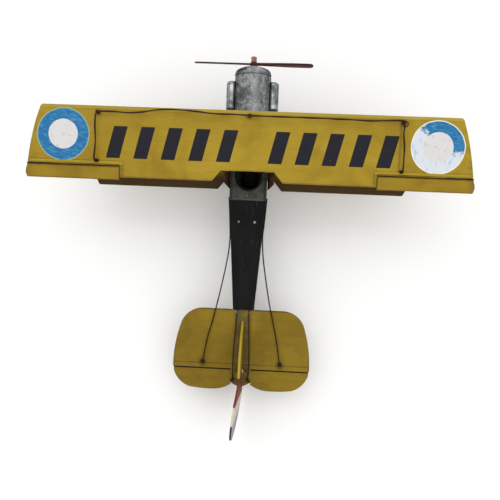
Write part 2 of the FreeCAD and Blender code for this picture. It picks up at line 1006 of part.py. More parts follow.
bay_wires = []
for y in strut_places:
    bay_wires += crossed(half + 4.5, dim(inner_out), y)
    bay_wires += crossed(inner_out + 3, dim(post_out), y)
port_wires = common(cut(group(*bay_wires), lower_solids), top_gap)
sub_part("bracing_wires", group(port_wires, mirrored(port_wires)))


def bent_wire(points, radius):
    """A wire bent round corners through several points."""
    path = Part.makePolygon(points)
    circle = Part.makeCircle(float(radius), points[0], points[1] - points[0])
    wire = doc.addObject("Part::Feature", "Wire")
    wire.Shape = path.makePipeShell([Part.Wire(circle)], True, False, ROUND_CORNERS)
    return wire


post_rise = 8.0
front_post = 6.4
rear_post = 50.0
wire_height = wing_gap + rise + post_rise - 3
posts = [
    rod(at(side * post_out, y, wing_gap + 1), at(side * post_out, y, wire_height - wire_radius), 0.9)
    for side in (-1, 1)
    for y in (front_post, rear_post)
]
centre_post = front_post - 1.5
centre_top = wire_height - wire_radius - 1.5
posts.append(rod(at(0, centre_post, wing_gap + 1), at(0, centre_post, centre_top), 0.8))
sub_part("wing_posts", cut(group(*posts), upper_solid))
wire_path = [
    at(-post_out, rear_post, wire_height),
    at(-post_out, front_post, wire_height),
    at(0, centre_post, wire_height - 1.5),
    at(post_out, front_post, wire_height),
    at(post_out, rear_post, wire_height),
]
sub_part("wing_top_wire", bent_wire(wire_path, wire_radius))

# Tail ---------------------------------------------------------------------------------------------

tail_half = cell("tail_half_span")
tail_gauge = cell("tail_gauge")
elevator_end = cell("elevator_end")
notch = cell("notch_half")
notch_aft = cell("notch_half_aft")
front_round = cell("tail_round_front")
aft_round = cell("tail_round_aft")
tail_top = tail_height + tail_gauge
tail_nose = tail_gauge / 2
tail_axis = tail_height + tail_nose
tail_edge = tail_hinge - tail_nose - panel_gap
side_place = tail_front + front_round * 0.66
elevator_eyes = (17.0, 52.0)
elevator_root = notch + 1.8


def stabilizer_solid():
    """A flat plate with large rounded front corners and slightly spreading sides."""
    half_outline = [
        (tail_half - front_round, tail_front, front_round * 0.84),
        (tail_half - 6.1, side_place, 120),
        (tail_half - 0.4, tail_edge),
    ]
    return plate("XY_Plane", mirror_plan(half_outline), tail_gauge, lift=tail_height)


def eyes_along_x(places):
    """Hinge eyes of the elevators."""
    return knuckles(
        places,
        at(0, tail_hinge, tail_axis),
        Vector(1, 0, 0),
        tail_nose,
        eye_web(tail_edge - 0.3, tail_hinge, tail_height + 0.4, tail_top - 0.4),
    )


elevator_sides = [side * place for side in (-1, 1) for place in elevator_eyes]
elevator_wires = [
    rod(
        at(side * (elevator_root + 1.5), tail_hinge, tail_axis),
        at(side * (tail_half - 5), tail_hinge, tail_axis),
        wire_radius,
    )
    for side in (-1, 1)
]
sub_part("stabilizer", cut(fuse(stabilizer_solid(), *eyes_along_x(elevator_sides)), fuse(*elevator_wires)))


def elevator():
    """The port elevator: a thin wedge with a rolled front edge and a large round outer corner."""
    wedge = along_x(
        [
            (tail_hinge, tail_height),
            (elevator_end + 2, tail_axis - 0.5),
            (elevator_end + 2, tail_axis + 0.5),
            (tail_hinge, tail_top),
        ],
        elevator_root,
        tail_half + 1,
    )
    nose = rod(at(elevator_root, tail_hinge, tail_axis), at(tail_half, tail_hinge, tail_axis), tail_nose)
    plan = plate(
        "XY_Plane",
        [
            (elevator_root, tail_hinge - 3),
            (tail_half - 0.3, tail_hinge - 3),
            (tail_half - 0.6, tail_hinge, aft_round * 1.12),
            (tail_half - aft_round + 3.6, elevator_end - 0.9, 150),
            (notch_aft + 7, elevator_end, 32),
            (elevator_root, tail_hinge + 14.0),
        ],
        20,
        lift=tail_height - 8,
    )
    notches = [
        block(at(place - notch_half, tail_hinge - 3, tail_height - 2), (notch_half * 2, 3.5 + tail_nose, 8))
        for place in elevator_eyes
    ]
    bore = rod(
        at(elevator_root - 1, tail_hinge, tail_axis),
        at(tail_half + 1, tail_hinge, tail_axis),
        wire_radius + running_gap,
    )
    return cut(common(fuse(wedge, nose), plan), fuse(bore, *notches))


left_elevator = sub_part("left_elevator", elevator())
sub_part("right_elevator", mirrored(left_elevator))

fin_front = cell("fin_front")
fin_top = tail_height + cell("fin_rise")
rudder_reach = cell("rudder_reach")
rudder_low = tail_height - 10.5
fin_edge = post_rear


def upright_eyes(places, front):
    """Hinge eyes of the rudder, one above another."""
    web_gauge = 1.6
    web_reach = tail_hinge - front + 0.3

    def web(place, width):
        return block(at(-web_gauge / 2, front - 0.3, place - width / 2), (web_gauge, web_reach, width))

    return knuckles(places, at(0, tail_hinge, 0), Vector(0, 0, 1), rudder_nose, web)


fin_eyes = (44.0, 63.0)
post_eyes = (22.0,)
rudder_wire_pin = rod(at(0, tail_hinge, rudder_low + 1.0), at(0, tail_hinge, fin_top - 2.5), wire_radius)
fin_plate = plate(
    "YZ_Plane",
    [
        (fin_front, tail_top),
        (fin_edge, tail_top),
        (fin_edge, fin_top),
        (fin_edge - 7, fin_top, 55),
        (fin_front + 6, tail_top + 6.5),
    ],
    fin_gauge,
    middle=True,
)
sub_part("fin", cut(fuse(fin_plate, *upright_eyes(fin_eyes, fin_edge)), rudder_wire_pin))
post_block = block(at(-1.6, stern, stern_low), (3.2, fin_edge - stern, tail_height - stern_low))
sub_part("stern_post", cut(fuse(post_block, *upright_eyes(post_eyes, fin_edge)), rudder_wire_pin))


def rudder():
    """A flat plate with a round balance at the top, a round aft edge and a rolled front edge on its pin."""
    top = fin_top + 2.0
    aft = tail_hinge + rudder_reach
    body = plate(
        "YZ_Plane",
        [
            (tail_hinge, rudder_low),
            (tail_hinge + 14, rudder_low, 34),
            (aft, tail_height + 23, 27),
            (tail_hinge + 24, top + 1.5, 70),
            (tail_hinge, top),
        ],
        fin_gauge * 0.72,
        middle=True,
    )
    nose = rod(at(0, tail_hinge, rudder_low), at(0, tail_hinge, top), rudder_nose)
    bore = rod(at(0, tail_hinge, rudder_low - 1), at(0, tail_hinge, top + 1), wire_radius + running_gap)
    notches = [
        block(at(-4, tail_hinge - 4, place - notch_half), (8, 4.5 + rudder_nose, notch_half * 2))
        for place in fin_eyes + post_eyes
    ]
    return cut(fuse(body, nose), fuse(bore, *notches))


rudder_piece = sub_part("rudder", rudder())
sub_part("hinge_wires", group(*aileron_wires, *elevator_wires, rudder_wire_pin))

horn_height = tail_height + 8.0
horn_reach = 9.2
horn_place = tail_hinge + 8.5
horn_arms = plate(
    "XY_Plane",
    [
        (-horn_reach, horn_place),
        (-horn_reach, horn_place - 2.2),
        (0, tail_hinge + 2.2),
        (horn_reach, horn_place - 2.2),
        (horn_reach, horn_place),
        (0, horn_place - 2.5),
    ],
    0.9,
    lift=horn_height,
)
sub_part("rudder_horn", cut(horn_arms, rudder_piece))

tail_post_out = 37.5
tail_post_place = tail_edge - 6.0
tail_wire_height = tail_top + 3.0
tail_post_rise = 3.6
tail_posts = []
for side in (-1, 1):
    post_foot = at(side * tail_post_out, tail_post_place, tail_top)
    tail_posts.append(rod(post_foot, post_foot + Vector(0, 0, tail_post_rise), 0.9))


def beside_hull(y, height):
    """A wire's place where it lies against the tapering side of the fuselage."""
    side = half - (half - stern_half) * (y - deck_end) / taper_run
    return at(side + wire_radius + 0.1, y, height)


outer_path = [
    beside_hull(deck_end, 27),
    beside_hull(dim(112.0), 27),
    at(20.0, 152, 30.2),
    at(32.6, 209, tail_top + 2.2),
    at(tail_post_out - 0.7, tail_post_place - 1.3, tail_wire_height),
]
outer_wire = bent_wire(outer_path, wire_radius)
sub_part("tail_wire_posts", group(*tail_posts))
sub_part("tail_wires", group(outer_wire, mirrored(outer_wire)))

rudder_cable = rod(
    at(5.9, tail_front - 1.0, tail_top + 1.2), at(7.7, tail_edge - 6, horn_height - 0.6), wire_radius * 0.9
)
cable_lug = block(at(5.0, tail_front + 1.2, tail_top), (2, 2.4, 1.2 + wire_radius))
sub_part("rudder_cables", group(rudder_cable, mirrored(rudder_cable)))
cable_guides = cut(cable_lug, rudder_cable)
sub_part("cable_guides", group(cable_guides, mirrored(cable_guides)))

# Undercarriage ------------------------------------------------------------------------------------

axle_place = cell("axle_place")
axle_drop = cell("axle_drop")
axle_radius = cell("axle_radius")
wheel_radius = cell("wheel_radius")
tyre_radius = cell("tyre_radius")
wheel_out = cell("wheel_track") / 2
hub_half = 3.0
eye_out = wheel_out - hub_half - joint_gap
eye_gauge = 2.4
axle_height = -axle_drop


def undercarriage():
    """The port legs: a V from the belly to an eye round the axle."""
    shoe = at(eye_out - eye_gauge / 2, axle_place, axle_height)
    front_foot = at(half - 3.5, -15, 2)
    rear_foot = at(half + 2.0, 27, 2)
    legs = [rod(foot, shoe, 1.7) for foot in (front_foot, rear_foot)]
    eye = rod(at(eye_out - eye_gauge, axle_place, axle_height), at(eye_out, axle_place, axle_height), 4.2)
    axle_bore = rod(at(0, axle_place, axle_height), at(60, axle_place, axle_height), axle_radius)
    outboard = block(at(eye_out, axle_place - 10, axle_height - 10), (20, 20, 20))
    whole = fuse(envelope, cowl_outer, left_solid)
    return cut(fuse(*legs, eye), fuse(axle_bore, outboard, whole))


left_legs = sub_part("left_undercarriage_legs", undercarriage())
sub_part("right_undercarriage_legs", mirrored(left_legs))
spreader_height = axle_height + 2.75
sub_part(
    "spreader_bar",
    cut(
        rod(
            at(-eye_out + eye_gauge, axle_place, spreader_height),
            at(eye_out - eye_gauge, axle_place, spreader_height),
            1.1,
        ),
        fuse(left_legs, mirrored(left_legs)),
    ),
)
cap_gauge = 1.8
cap_radius = 2.8
axle_end = wheel_out + hub_half + joint_gap + cap_gauge
axle_tip = axle_end + 0.5
axle = rod(at(-axle_tip, axle_place, axle_height), at(axle_tip, axle_place, axle_height), axle_radius)
sub_part("wheel_axle", axle)
port_cap = tube(
    at(axle_end - cap_gauge, axle_place, axle_height),
    at(axle_end, axle_place, axle_height),
    cap_radius,
    axle_radius,
)
sub_part("axle_caps", group(port_cap, mirrored(port_cap)))

rim_seat = wheel_radius - tyre_radius * 1.55
disc = turned(
    [
        (-hub_half, axle_radius + running_gap),
        (hub_half, axle_radius + running_gap),
        (hub_half, 3.4),
        (2.0, rim_seat - 1.2),
        (2.0, rim_seat),
        (-2.0, rim_seat),
        (-2.0, rim_seat - 1.2),
        (-hub_half, 3.4),
    ],
    at(wheel_out, axle_place, axle_height),
    Vector(1, 0, 0),
)
left_disc = sub_part("left_wheel_disc", disc)
sub_part("right_wheel_disc", mirrored(left_disc))
ring = doc.addObject("Part::Torus", "Tyre")
bind(ring, "Radius1", wheel_radius - tyre_radius)
bind(ring, "Radius2", tyre_radius)
wheel_turn = Rotation(Vector(0, 0, 1), Vector(1, 0, 0))
ring.Placement = Placement(at(wheel_out, axle_place, axle_height), wheel_turn)
rim_core = rod(
    at(wheel_out - 10, axle_place, axle_height),
    at(wheel_out + 10, axle_place, axle_height),
    rim_seat,
)
left_tyre = sub_part("left_tyre", cut(ring, rim_core))
sub_part("right_tyre", mirrored(left_tyre))

skid_place = cell("skid_place")
skid_drop = cell("skid_drop")
skid_radius = cell("skid_radius")
skid_tip = at(0, skid_place, -skid_drop)
skid_end = at(0, skid_place + 6, -skid_drop + 1.6)
skid = bent_wire([at(0, skid_place - 22, 16), skid_tip, skid_end], skid_radius)
skid_brace = rod(at(0, stern - 4, 20), skid_tip, skid_radius * 0.8)
sub_part("tail_skid", cut(fuse(skid, ball(skid_end, skid_radius), skid_brace), envelope))

# Stance -------------------------------------------------------------------------------------------

# The model leans back until its tyres and its skid stand on one level plane.
run = float(skid_place - axle_place)
climb = float(axle_drop - skid_drop)
step = float(wheel_radius - skid_radius)
lean = math.atan2(climb, run) + math.asin(step / math.hypot(run, climb))
turn = Rotation(Vector(1, 0, 0), -math.degrees(lean))
lift = float(wheel_radius) - turn.multVec(at(0, axle_place, axle_height)).z
doc.recompute()
tilted = Placement(Vector(0, 0, lift), turn)


def reach_along_y(label):
    """How far forward and aft a piece reaches once the model stands."""
    shape = PARTS[label].Shape.copy()
    shape.Placement = tilted.multiply(shape.Placement)
    box = shape.optimalBoundingBox(False)
    return box.YMin, box.YMax


middle = (reach_along_y("propeller_boss")[0] + reach_along_y("rudder")[1]) / 2
stance = Placement(Vector(0, -middle, lift), turn)
for piece in PARTS.values():
    piece.Placement = stance.multiply(piece.Placement)

# Checks and export --------------------------------------------------------------------------------

doc.recompute()
for thing in doc.Objects:
    if "Invalid" in thing.State or "Error" in thing.State:
        raise RuntimeError(f"{thing.Name} ({thing.Label}) failed: {thing.State}")
for label, piece in PARTS.items():
    if piece.Shape.isNull() or not piece.Shape.isValid() or not piece.Shape.Solids:
        raise RuntimeError(f"{label}: no valid solid")
os.makedirs("parts", exist_ok=True)
for label, piece in PARTS.items():
    piece.Shape.exportStep(f"parts/{label}.step")
lean_degrees = math.degrees(lean)
print(f"{len(PARTS)} sub-parts; lean {lean_degrees:.6f} degrees, lift {lift:.6f}, middle {middle:.6f}")
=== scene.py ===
"""Looks of the sheet-metal biplane model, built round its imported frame. Metres, +Z up, standing on the ground.

Pieces are drawn in the airframe datum, in millimetres: +X to port, +Y aft, +Z up, origin on the centreline
under the upper wing's leading edge, at the lower wing's underside. DATUM carries them to the row frame.
"""

import json
import math

import bmesh
import bpy
from mathutils import Matrix, Vector, noise

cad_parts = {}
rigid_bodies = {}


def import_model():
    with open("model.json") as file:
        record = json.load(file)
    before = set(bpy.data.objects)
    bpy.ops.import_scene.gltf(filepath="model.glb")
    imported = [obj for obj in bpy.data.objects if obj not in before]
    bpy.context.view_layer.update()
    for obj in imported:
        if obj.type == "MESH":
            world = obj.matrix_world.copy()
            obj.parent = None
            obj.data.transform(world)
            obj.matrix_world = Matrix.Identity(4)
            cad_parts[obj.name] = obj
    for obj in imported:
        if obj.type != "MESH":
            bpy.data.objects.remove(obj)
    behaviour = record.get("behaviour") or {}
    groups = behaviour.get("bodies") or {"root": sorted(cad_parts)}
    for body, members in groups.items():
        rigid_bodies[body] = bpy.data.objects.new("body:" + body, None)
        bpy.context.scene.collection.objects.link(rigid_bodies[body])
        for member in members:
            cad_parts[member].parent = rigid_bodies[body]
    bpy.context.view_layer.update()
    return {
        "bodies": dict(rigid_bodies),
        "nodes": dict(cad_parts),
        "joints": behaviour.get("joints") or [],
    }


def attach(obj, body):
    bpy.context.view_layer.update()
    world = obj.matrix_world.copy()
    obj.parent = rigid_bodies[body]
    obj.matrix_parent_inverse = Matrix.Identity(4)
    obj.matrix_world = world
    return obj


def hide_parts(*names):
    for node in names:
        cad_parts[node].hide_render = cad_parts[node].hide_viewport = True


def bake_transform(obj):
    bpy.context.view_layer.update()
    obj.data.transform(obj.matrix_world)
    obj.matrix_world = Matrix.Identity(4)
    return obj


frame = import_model()
noise.seed_set(7)

# Datum --------------------------------------------------------------------------------------------

joints = {joint["name"]: joint for joint in frame["joints"]}
AFT = -Vector(joints["propeller_spin"]["axis"])
UP = Vector(joints["rudder_hinge"]["axis"])
PORT = Vector((1, 0, 0))
LEAN = math.atan2(UP.y, UP.z)
PROP_PLACE = -53.2
THRUST_HEIGHT = 21.5
MM = 0.001
ORIGIN = Vector(joints["propeller_spin"]["pos_m"]) - AFT * PROP_PLACE * MM - UP * THRUST_HEIGHT * MM
TURN = Matrix((PORT, AFT, UP)).transposed()
DATUM = Matrix.Translation(ORIGIN) @ TURN.to_4x4() @ Matrix.Scale(MM, 4)


def row_point(x, y, z):
    """A point of the airframe datum in the row frame."""
    return DATUM @ Vector((x, y, z))


class Extent:
    """Lowest and highest corner of CAD nodes in the airframe datum, in millimetres."""

    def __init__(self, *names):
        back = DATUM.inverted()
        spots = [back @ vertex.co for name in names for vertex in frame["nodes"][name].data.vertices]
        self.low = Vector([min(spot[axis] for spot in spots) for axis in range(3)])
        self.high = Vector([max(spot[axis] for spot in spots) for axis in range(3)])
        self.middle = (self.low + self.high) / 2


wing = Extent("upper_wing_skin")
aileron_box = Extent("left_aileron")
lower_wing = Extent("left_lower_wing_skin")
tail = Extent("stabilizer")
elevator_box = Extent("left_elevator")
fin_box = Extent("fin")
rudder_box = Extent("rudder")
cowl_box = Extent("engine_cowl")
bank_box = Extent("left_cylinder_bank")
shell_box = Extent("fuselage_shell")
post_box = Extent("wing_posts")
tail_post_box = Extent("tail_wire_posts")
GAUGE = 0.6
TOP_FLOOR = Extent("upper_wing_underside").low.z
TAIL_NOSE = (tail.high.z - tail.low.z) / 2
TAIL_HINGE = elevator_box.low.y + TAIL_NOSE
TAIL_EDGE = elevator_box.low.y - 0.2

# Materials ----------------------------------------------------------------------------------------


def tint(red, green, blue):
    """A paint colour given as display values from 0 to 255, in linear light."""
    def linear(value):
        share = value / 255
        return share / 12.92 if share <= 0.04045 else ((share + 0.055) / 1.055) ** 2.4

    return (linear(red), linear(green), linear(blue), 1)


class Paint:
    """Node tree of one material. Its methods take sockets or numbers and give sockets."""

    def __init__(self, name, roughness=0.5, metallic=0.0):
        self.material = bpy.data.materials.new(name)
        self.material.use_nodes = True
        self.tree = self.material.node_tree
        self.surface = self.tree.nodes["Principled BSDF"]
        self.surface.inputs["Roughness"].default_value = roughness
        self.surface.inputs["Metallic"].default_value = metallic
        self.surface.inputs["Specular IOR Level"].default_value = 0.22
        place = self.node("ShaderNodeMapping", self.node("ShaderNodeTexCoord").outputs["Object"])
        turned_back = TURN.inverted()
        place.inputs["Location"].default_value = -(turned_back @ ORIGIN) / MM
        place.inputs["Rotation"].default_value = turned_back.to_euler()
        place.inputs["Scale"].default_value = (1 / MM, 1 / MM, 1 / MM)
        self.spot = place.outputs[0]
        self.x, self.y, self.z = self.node("ShaderNodeSeparateXYZ", self.spot).outputs
        self.across = self.math("ABSOLUTE", self.x)

    def node(self, kind, *values, **settings):
        made = self.tree.nodes.new(kind)
        for key, setting in settings.items():
            setattr(made, key, setting)
        for socket, value in zip(made.inputs, values):
            self.feed(socket, value)
        return made

    def feed(self, socket, value):
        if isinstance(value, bpy.types.NodeSocket):
            self.tree.links.new(value, socket)
        elif value is not None:
            socket.default_value = value

    def math(self, operation, *values):
        return self.node("ShaderNodeMath", *values, operation=operation).outputs[0]

    def add(self, *values):
        return self.math("ADD", *values)

    def sub(self, *values):
        return self.math("SUBTRACT", *values)

    def times(self, *values):
        return self.math("MULTIPLY", *values)

    def either(self, *masks):
        total = masks[0]
        for mask in masks[1:]:
            total = self.math("MAXIMUM", total, mask)
        return total

    def rise(self, value, start, end):
        """0 before start, 1 past end, smooth between them; start may be the higher of the two."""
        made = self.node("ShaderNodeMapRange", value, interpolation_type="SMOOTHSTEP")
        made.inputs["From Min"].default_value = start
        made.inputs["From Max"].default_value = end
        return made.outputs[0]

    def band(self, value, low, high, soft):
        """1 between low and high, fading over soft on each side."""
        return self.times(self.rise(value, low - soft, low + soft), self.rise(value, high + soft, high - soft))

    def line(self, value, place, half, soft):
        return self.band(value, place - half, place + half, soft)

    def reach(self, x, y, value_x=None):
        """Distance from the upright line through (x, y)."""
        side = self.sub(self.x if value_x is None else value_x, x)
        along = self.sub(self.y, y)
        return self.math("SQRT", self.add(self.times(side, side), self.times(along, along)))

    def cloud(self, size, detail=3.0, rough=0.55, stretch=(1, 1, 1), shift=(0, 0, 0), warp=0.0):
        """Noise between 0 and 1 whose features are about size millimetres wide."""
        place = self.node("ShaderNodeMapping", self.spot)
        place.inputs["Location"].default_value = shift
        place.inputs["Scale"].default_value = stretch
        made = self.node("ShaderNodeTexNoise", place.outputs[0])
        made.inputs["Scale"].default_value = 1 / size
        made.inputs["Detail"].default_value = detail
        made.inputs["Roughness"].default_value = rough
        made.inputs["Distortion"].default_value = warp
        return made.outputs["Fac"]

    def mix(self, share, first, second, blend="MIX"):
        made = self.node("ShaderNodeMix", data_type="RGBA", blend_type=blend)
        self.feed(made.inputs[0], share)
        self.feed(made.inputs[6], first)
        self.feed(made.inputs[7], second)
        return made.outputs[2]

    def shades(self, share, *stops):
        """A colour for each share: stops are (place, colour)."""
        made = self.node("ShaderNodeValToRGB", share)
        elements = made.color_ramp.elements
        elements[0].position, elements[0].color = stops[0]
        elements[1].position, elements[1].color = stops[-1]
        for place, colour in stops[1:-1]:
            elements.new(place).color = colour
        return made.outputs[0]

    def color(self, value):
        self.feed(self.surface.inputs["Base Color"], value)

    def roughness(self, value):
        self.feed(self.surface.inputs["Roughness"], value)

    def metallic(self, value):
        self.feed(self.surface.inputs["Metallic"], value)

    def bump(self, height, depth):
        """Relief: height is a socket from 0 to 1, depth its size in millimetres."""
        made = self.node("ShaderNodeBump")
        made.inputs["Distance"].default_value = depth * MM
        self.feed(made.inputs["Height"], height)
        self.feed(self.surface.inputs["Normal"], made.outputs[0])


OCHRE = tint(159, 132, 26)
OCHRE_LIGHT = tint(172, 144, 40)
OCHRE_DARK = tint(138, 110, 14)
UMBER = tint(46, 27, 6)
BURNT = tint(34, 18, 8)
"""Colours of the wings' paint and of the brown wash rubbed into its edges."""


def ochre_coat(paint, base=OCHRE, light=OCHRE_LIGHT, dark=OCHRE_DARK):
    """Hand-brushed ochre: broad blotches, fine strokes along the span, faint stains."""
    blotch = paint.cloud(38, detail=4, warp=0.6)
    coat = paint.shades(blotch, (0.22, dark), (0.46, base), (0.74, light))
    strokes = paint.cloud(5, detail=5, stretch=(0.12, 1, 1))
    coat = paint.mix(paint.times(paint.rise(strokes, 0.42, 0.70), 0.28), coat, dark)
    stains = paint.rise(paint.cloud(14, detail=6, rough=0.7, shift=(31, 7, 3)), 0.60, 0.76)
    return paint.mix(paint.times(stains, 0.30), coat, tint(126, 92, 30))


def washed(paint, coat, mask, colour=UMBER, strength=1.0):
    """The coat with brown wash rubbed in where the mask is high."""
    patchy = paint.rise(paint.cloud(6, detail=5, rough=0.65, shift=(3, 11, 5)), 0.18, 0.62)
    share = paint.times(mask, paint.add(0.45, paint.times(patchy, 0.55)), strength)
    return paint.mix(paint.times(share, strength), coat, colour)


def smudges(paint, places, size):
    """Dark halos, mirrored to both sides, round (x, y) places on an upper surface."""
    return paint.either(*[
        paint.rise(paint.reach(x, y, paint.across), size * spread, size * 0.15) for x, y, spread in places
    ])


def satin(paint, base=0.42, wear=0.2, grain=0.06):
    """Uneven gloss and a fine brushed relief, shared by all painted sheet."""
    paint.roughness(paint.add(base, paint.times(paint.cloud(9, detail=4), wear)))
    fine = paint.cloud(1.2, detail=3, stretch=(0.35, 1, 1))
    broad = paint.cloud(16, detail=2)
    paint.bump(paint.add(paint.times(fine, 0.35), paint.times(broad, 0.65)), grain * 4)


MARK_FRONT = 18.3
MARK_REAR = 46.9
MARK_SLANT = 7.0
MARK_WIDTH = 12.5
MARK_COUNT = 5
ROUNDEL_OUT = 168.0
ROUNDEL_PLACE = 26.8
ROUNDEL_RADIUS = 23.4
DISC_RADIUS = 13.4
"""Painted markings of the upper wing: two groups of slanted bars and a roundel on each tip."""


def slanted_bars(paint, low, high):
    """Mask of a group of equal slanted bars between two places along the span."""
    height = MARK_REAR - MARK_FRONT
    slid = paint.times(paint.sub(paint.y, MARK_FRONT), MARK_SLANT / height)
    run = paint.sub(paint.sub(paint.x, low), slid)
    pitch = (high - low - MARK_SLANT - MARK_WIDTH) / (MARK_COUNT - 1)
    within = paint.math("FLOORED_MODULO", run, pitch)
    bar = paint.band(within, 0.0, MARK_WIDTH, 0.25)
    whole = paint.band(run, -0.4, high - low - MARK_SLANT + 0.4, 0.2)
    tall = paint.band(paint.y, MARK_FRONT, MARK_REAR, 0.25)
    return paint.times(paint.times(bar, whole), tall)


def roundels(paint, coat):
    """Blue ring and off-white disc on each tip; the starboard ring has lost most of its blue."""
    wobble = paint.times(paint.sub(paint.cloud(9, detail=4), 0.5), 1.1)
    radius = paint.add(paint.reach(ROUNDEL_OUT, ROUNDEL_PLACE, paint.across), wobble)
    stroke = paint.cloud(2.6, detail=5, rough=0.65, stretch=(0.4, 1, 1), warp=0.8)
    blue = paint.shades(stroke, (0.25, tint(14, 88, 138)), (0.5, tint(34, 112, 162)), (0.75, tint(84, 148, 184)))
    stain = paint.rise(paint.cloud(5, detail=5, rough=0.7, shift=(9, 2, 0)), 0.52, 0.74)
    white = paint.mix(paint.times(stain, 0.5), tint(212, 211, 210), tint(184, 158, 144))
    scuffed = paint.mix(paint.rise(paint.cloud(3, detail=5, stretch=(1, 0.35, 1)), 0.5, 0.75), tint(212, 217, 223), tint(160, 190, 214))
    right = paint.times(paint.sub(paint.x, -ROUNDEL_OUT), -1)
    ahead = paint.times(paint.sub(paint.y, ROUNDEL_PLACE), -1)
    clock = paint.math("ARCTAN2", right, ahead)
    ragged = paint.add(clock, paint.times(paint.sub(paint.cloud(6, detail=6, rough=0.75), 0.5), 1.5))
    kept = paint.band(ragged, -0.72, 1.86, 0.12)
    starboard = paint.rise(paint.x, 1, -1)
    ring = paint.mix(paint.times(starboard, paint.sub(1, kept)), blue, scuffed)
    halo = paint.mix(starboard, tint(150, 172, 150), tint(236, 234, 222))
    coat = paint.mix(paint.rise(radius, ROUNDEL_RADIUS + 0.9, ROUNDEL_RADIUS + 0.2), coat, halo)
    coat = paint.mix(paint.rise(radius, ROUNDEL_RADIUS - 0.1, ROUNDEL_RADIUS - 0.5), coat, ring)
    return paint.mix(paint.rise(radius, DISC_RADIUS + 0.2, DISC_RADIUS - 0.2), coat, white)


WIRE_OUT = post_box.high.x - 0.9
FRONT_POST = post_box.low.y + 2.4
REAR_POST = post_box.high.y - 0.9
STEP_LINE = aileron_box.low.y - 1.4
BAY_FRONT = aileron_box.low.y - 0.4
AILERON_ROOT = aileron_box.low.x - 0.25
CUTOUT_HALF = 24.0
CUTOUT_AFT = 32.2
CUTOUT_DEPTH = 9.8


def wing_top_paint():
    """Upper wing: ochre with markings, burnt smudges at the wire's posts, wash along every seam, painted shade
    towards the port tip, and a scorch mark with a painted shadow beside the starboard side wire.
    """
    paint = Paint("wing_top_paint")
    coat = ochre_coat(paint)
    edge_band = paint.rise(paint.y, 3.6, 2.6)
    coat = paint.mix(paint.times(edge_band, 0.45), coat, tint(178, 158, 66))
    seam = paint.times(paint.line(paint.y, 4.0, 0.1, 0.5), 0.55)
    tip_edge = paint.rise(paint.across, 186, 203)
    tip_wash = paint.times(tip_edge, paint.rise(paint.cloud(10), 0.4, 0.7))
    corner = smudges(paint, [(WIRE_OUT, FRONT_POST, 1.0), (WIRE_OUT, REAR_POST, 0.8)], 5.0)
    middle = smudges(paint, [(0, FRONT_POST - 1.0, 1.0)], 4.5)
    aft_edge = paint.rise(paint.y, wing.high.y - 2.0, wing.high.y - 0.2)
    step = paint.times(paint.line(paint.y, STEP_LINE - 2.4, 0.1, 0.9), paint.rise(paint.across, AILERON_ROOT - 5, AILERON_ROOT))
    border_in = paint.times(paint.line(paint.across, AILERON_ROOT - 3.0, 0.1, 0.8), paint.rise(paint.y, STEP_LINE - 4, STEP_LINE))
    scorch_run = paint.band(paint.x, -(WIRE_OUT + 4), -WIRE_OUT + 34, 9)
    scorch = paint.times(scorch_run, paint.line(paint.y, FRONT_POST - 1.2, 0.4, 2.6))
    # Beside the starboard side wire: a scorch mark and a painted shadow of the wire.
    side_scorch_and_shadow = paint.times(paint.line(paint.x, -WIRE_OUT + 2.0, 0.5, 1.6), paint.band(paint.y, FRONT_POST, REAR_POST, 4))
    side_scorch_and_shadow = paint.times(side_scorch_and_shadow, 0.85)
    # Painted shade: the wing darker towards the port tip.
    coat = paint.mix(paint.times(paint.rise(paint.x, 40, 150), 0.3), coat, OCHRE_DARK)
    coat = washed(paint, coat, paint.either(seam, step, border_in), UMBER, 0.75)
    coat = washed(paint, coat, paint.either(tip_wash, aft_edge), tint(92, 66, 24), 0.6)
    coat = roundels(paint, coat)
    port_bars = slanted_bars(paint, 9.3, 128.7)
    starboard_bars = slanted_bars(paint, -133.8, -17.7)
    worn = paint.rise(paint.cloud(2.5, detail=6, rough=0.7, shift=(5, 5, 5)), 0.26, 0.32)
    bars = paint.times(paint.either(port_bars, starboard_bars), worn)
    ink = paint.mix(paint.cloud(7, detail=4), tint(13, 13, 19), tint(25, 25, 38))
    coat = paint.mix(bars, coat, ink)
    coat = washed(paint, coat, paint.either(corner, middle), BURNT, 0.6)
    coat = washed(paint, coat, paint.either(scorch, side_scorch_and_shadow), BURNT, 0.78)
    paint.color(coat)
    satin(paint)
    return paint.material


def aileron_paint():
    """Ailerons: plain ochre with wash along the hinge, the inner end and the trailing edge."""
    paint = Paint("aileron_paint")
    coat = ochre_coat(paint, base=tint(146, 118, 18), light=OCHRE, dark=tint(128, 101, 12))
    hinge = paint.rise(paint.y, aileron_box.low.y + 2.6, aileron_box.low.y + 0.9)
    inner = paint.rise(paint.across, AILERON_ROOT + 2.0, AILERON_ROOT + 0.3)
    aft = paint.rise(paint.y, aileron_box.high.y - 1.6, aileron_box.high.y)
    tip = paint.times(paint.rise(paint.across, 192, 204), 0.6)
    coat = washed(paint, coat, paint.either(hinge, inner), UMBER, 0.9)
    coat = washed(paint, coat, paint.either(aft, tip), tint(92, 66, 24), 0.7)
    paint.color(coat)
    satin(paint)
    return paint.material


def gap_shade_paint():
    """Inside of the hinge lines: painted shade in the gap, a near-black brown."""
    paint = Paint("gap_shade_paint", roughness=0.8)
    paint.color(paint.shades(paint.cloud(5, detail=4), (0.3, tint(20, 12, 4)), (0.7, tint(44, 29, 9))))
    paint.bump(paint.cloud(0.8), 0.1)
    return paint.material


def bead_paint():
    """Raised border round the ailerons: the wing's ochre, a little brighter, brown along both sides."""
    paint = Paint("bead_paint")
    coat = ochre_coat(paint, tint(172, 148, 34), OCHRE_LIGHT, OCHRE)
    run = paint.either(
        paint.rise(paint.y, BAY_FRONT - 0.7, BAY_FRONT - 0.3),
        paint.times(paint.rise(paint.across, AILERON_ROOT - 0.7, AILERON_ROOT - 0.4), paint.rise(paint.y, 50, 54)),
    )
    coat = washed(paint, coat, run, UMBER, 0.55)
    paint.color(coat)
    satin(paint)
    return paint.material


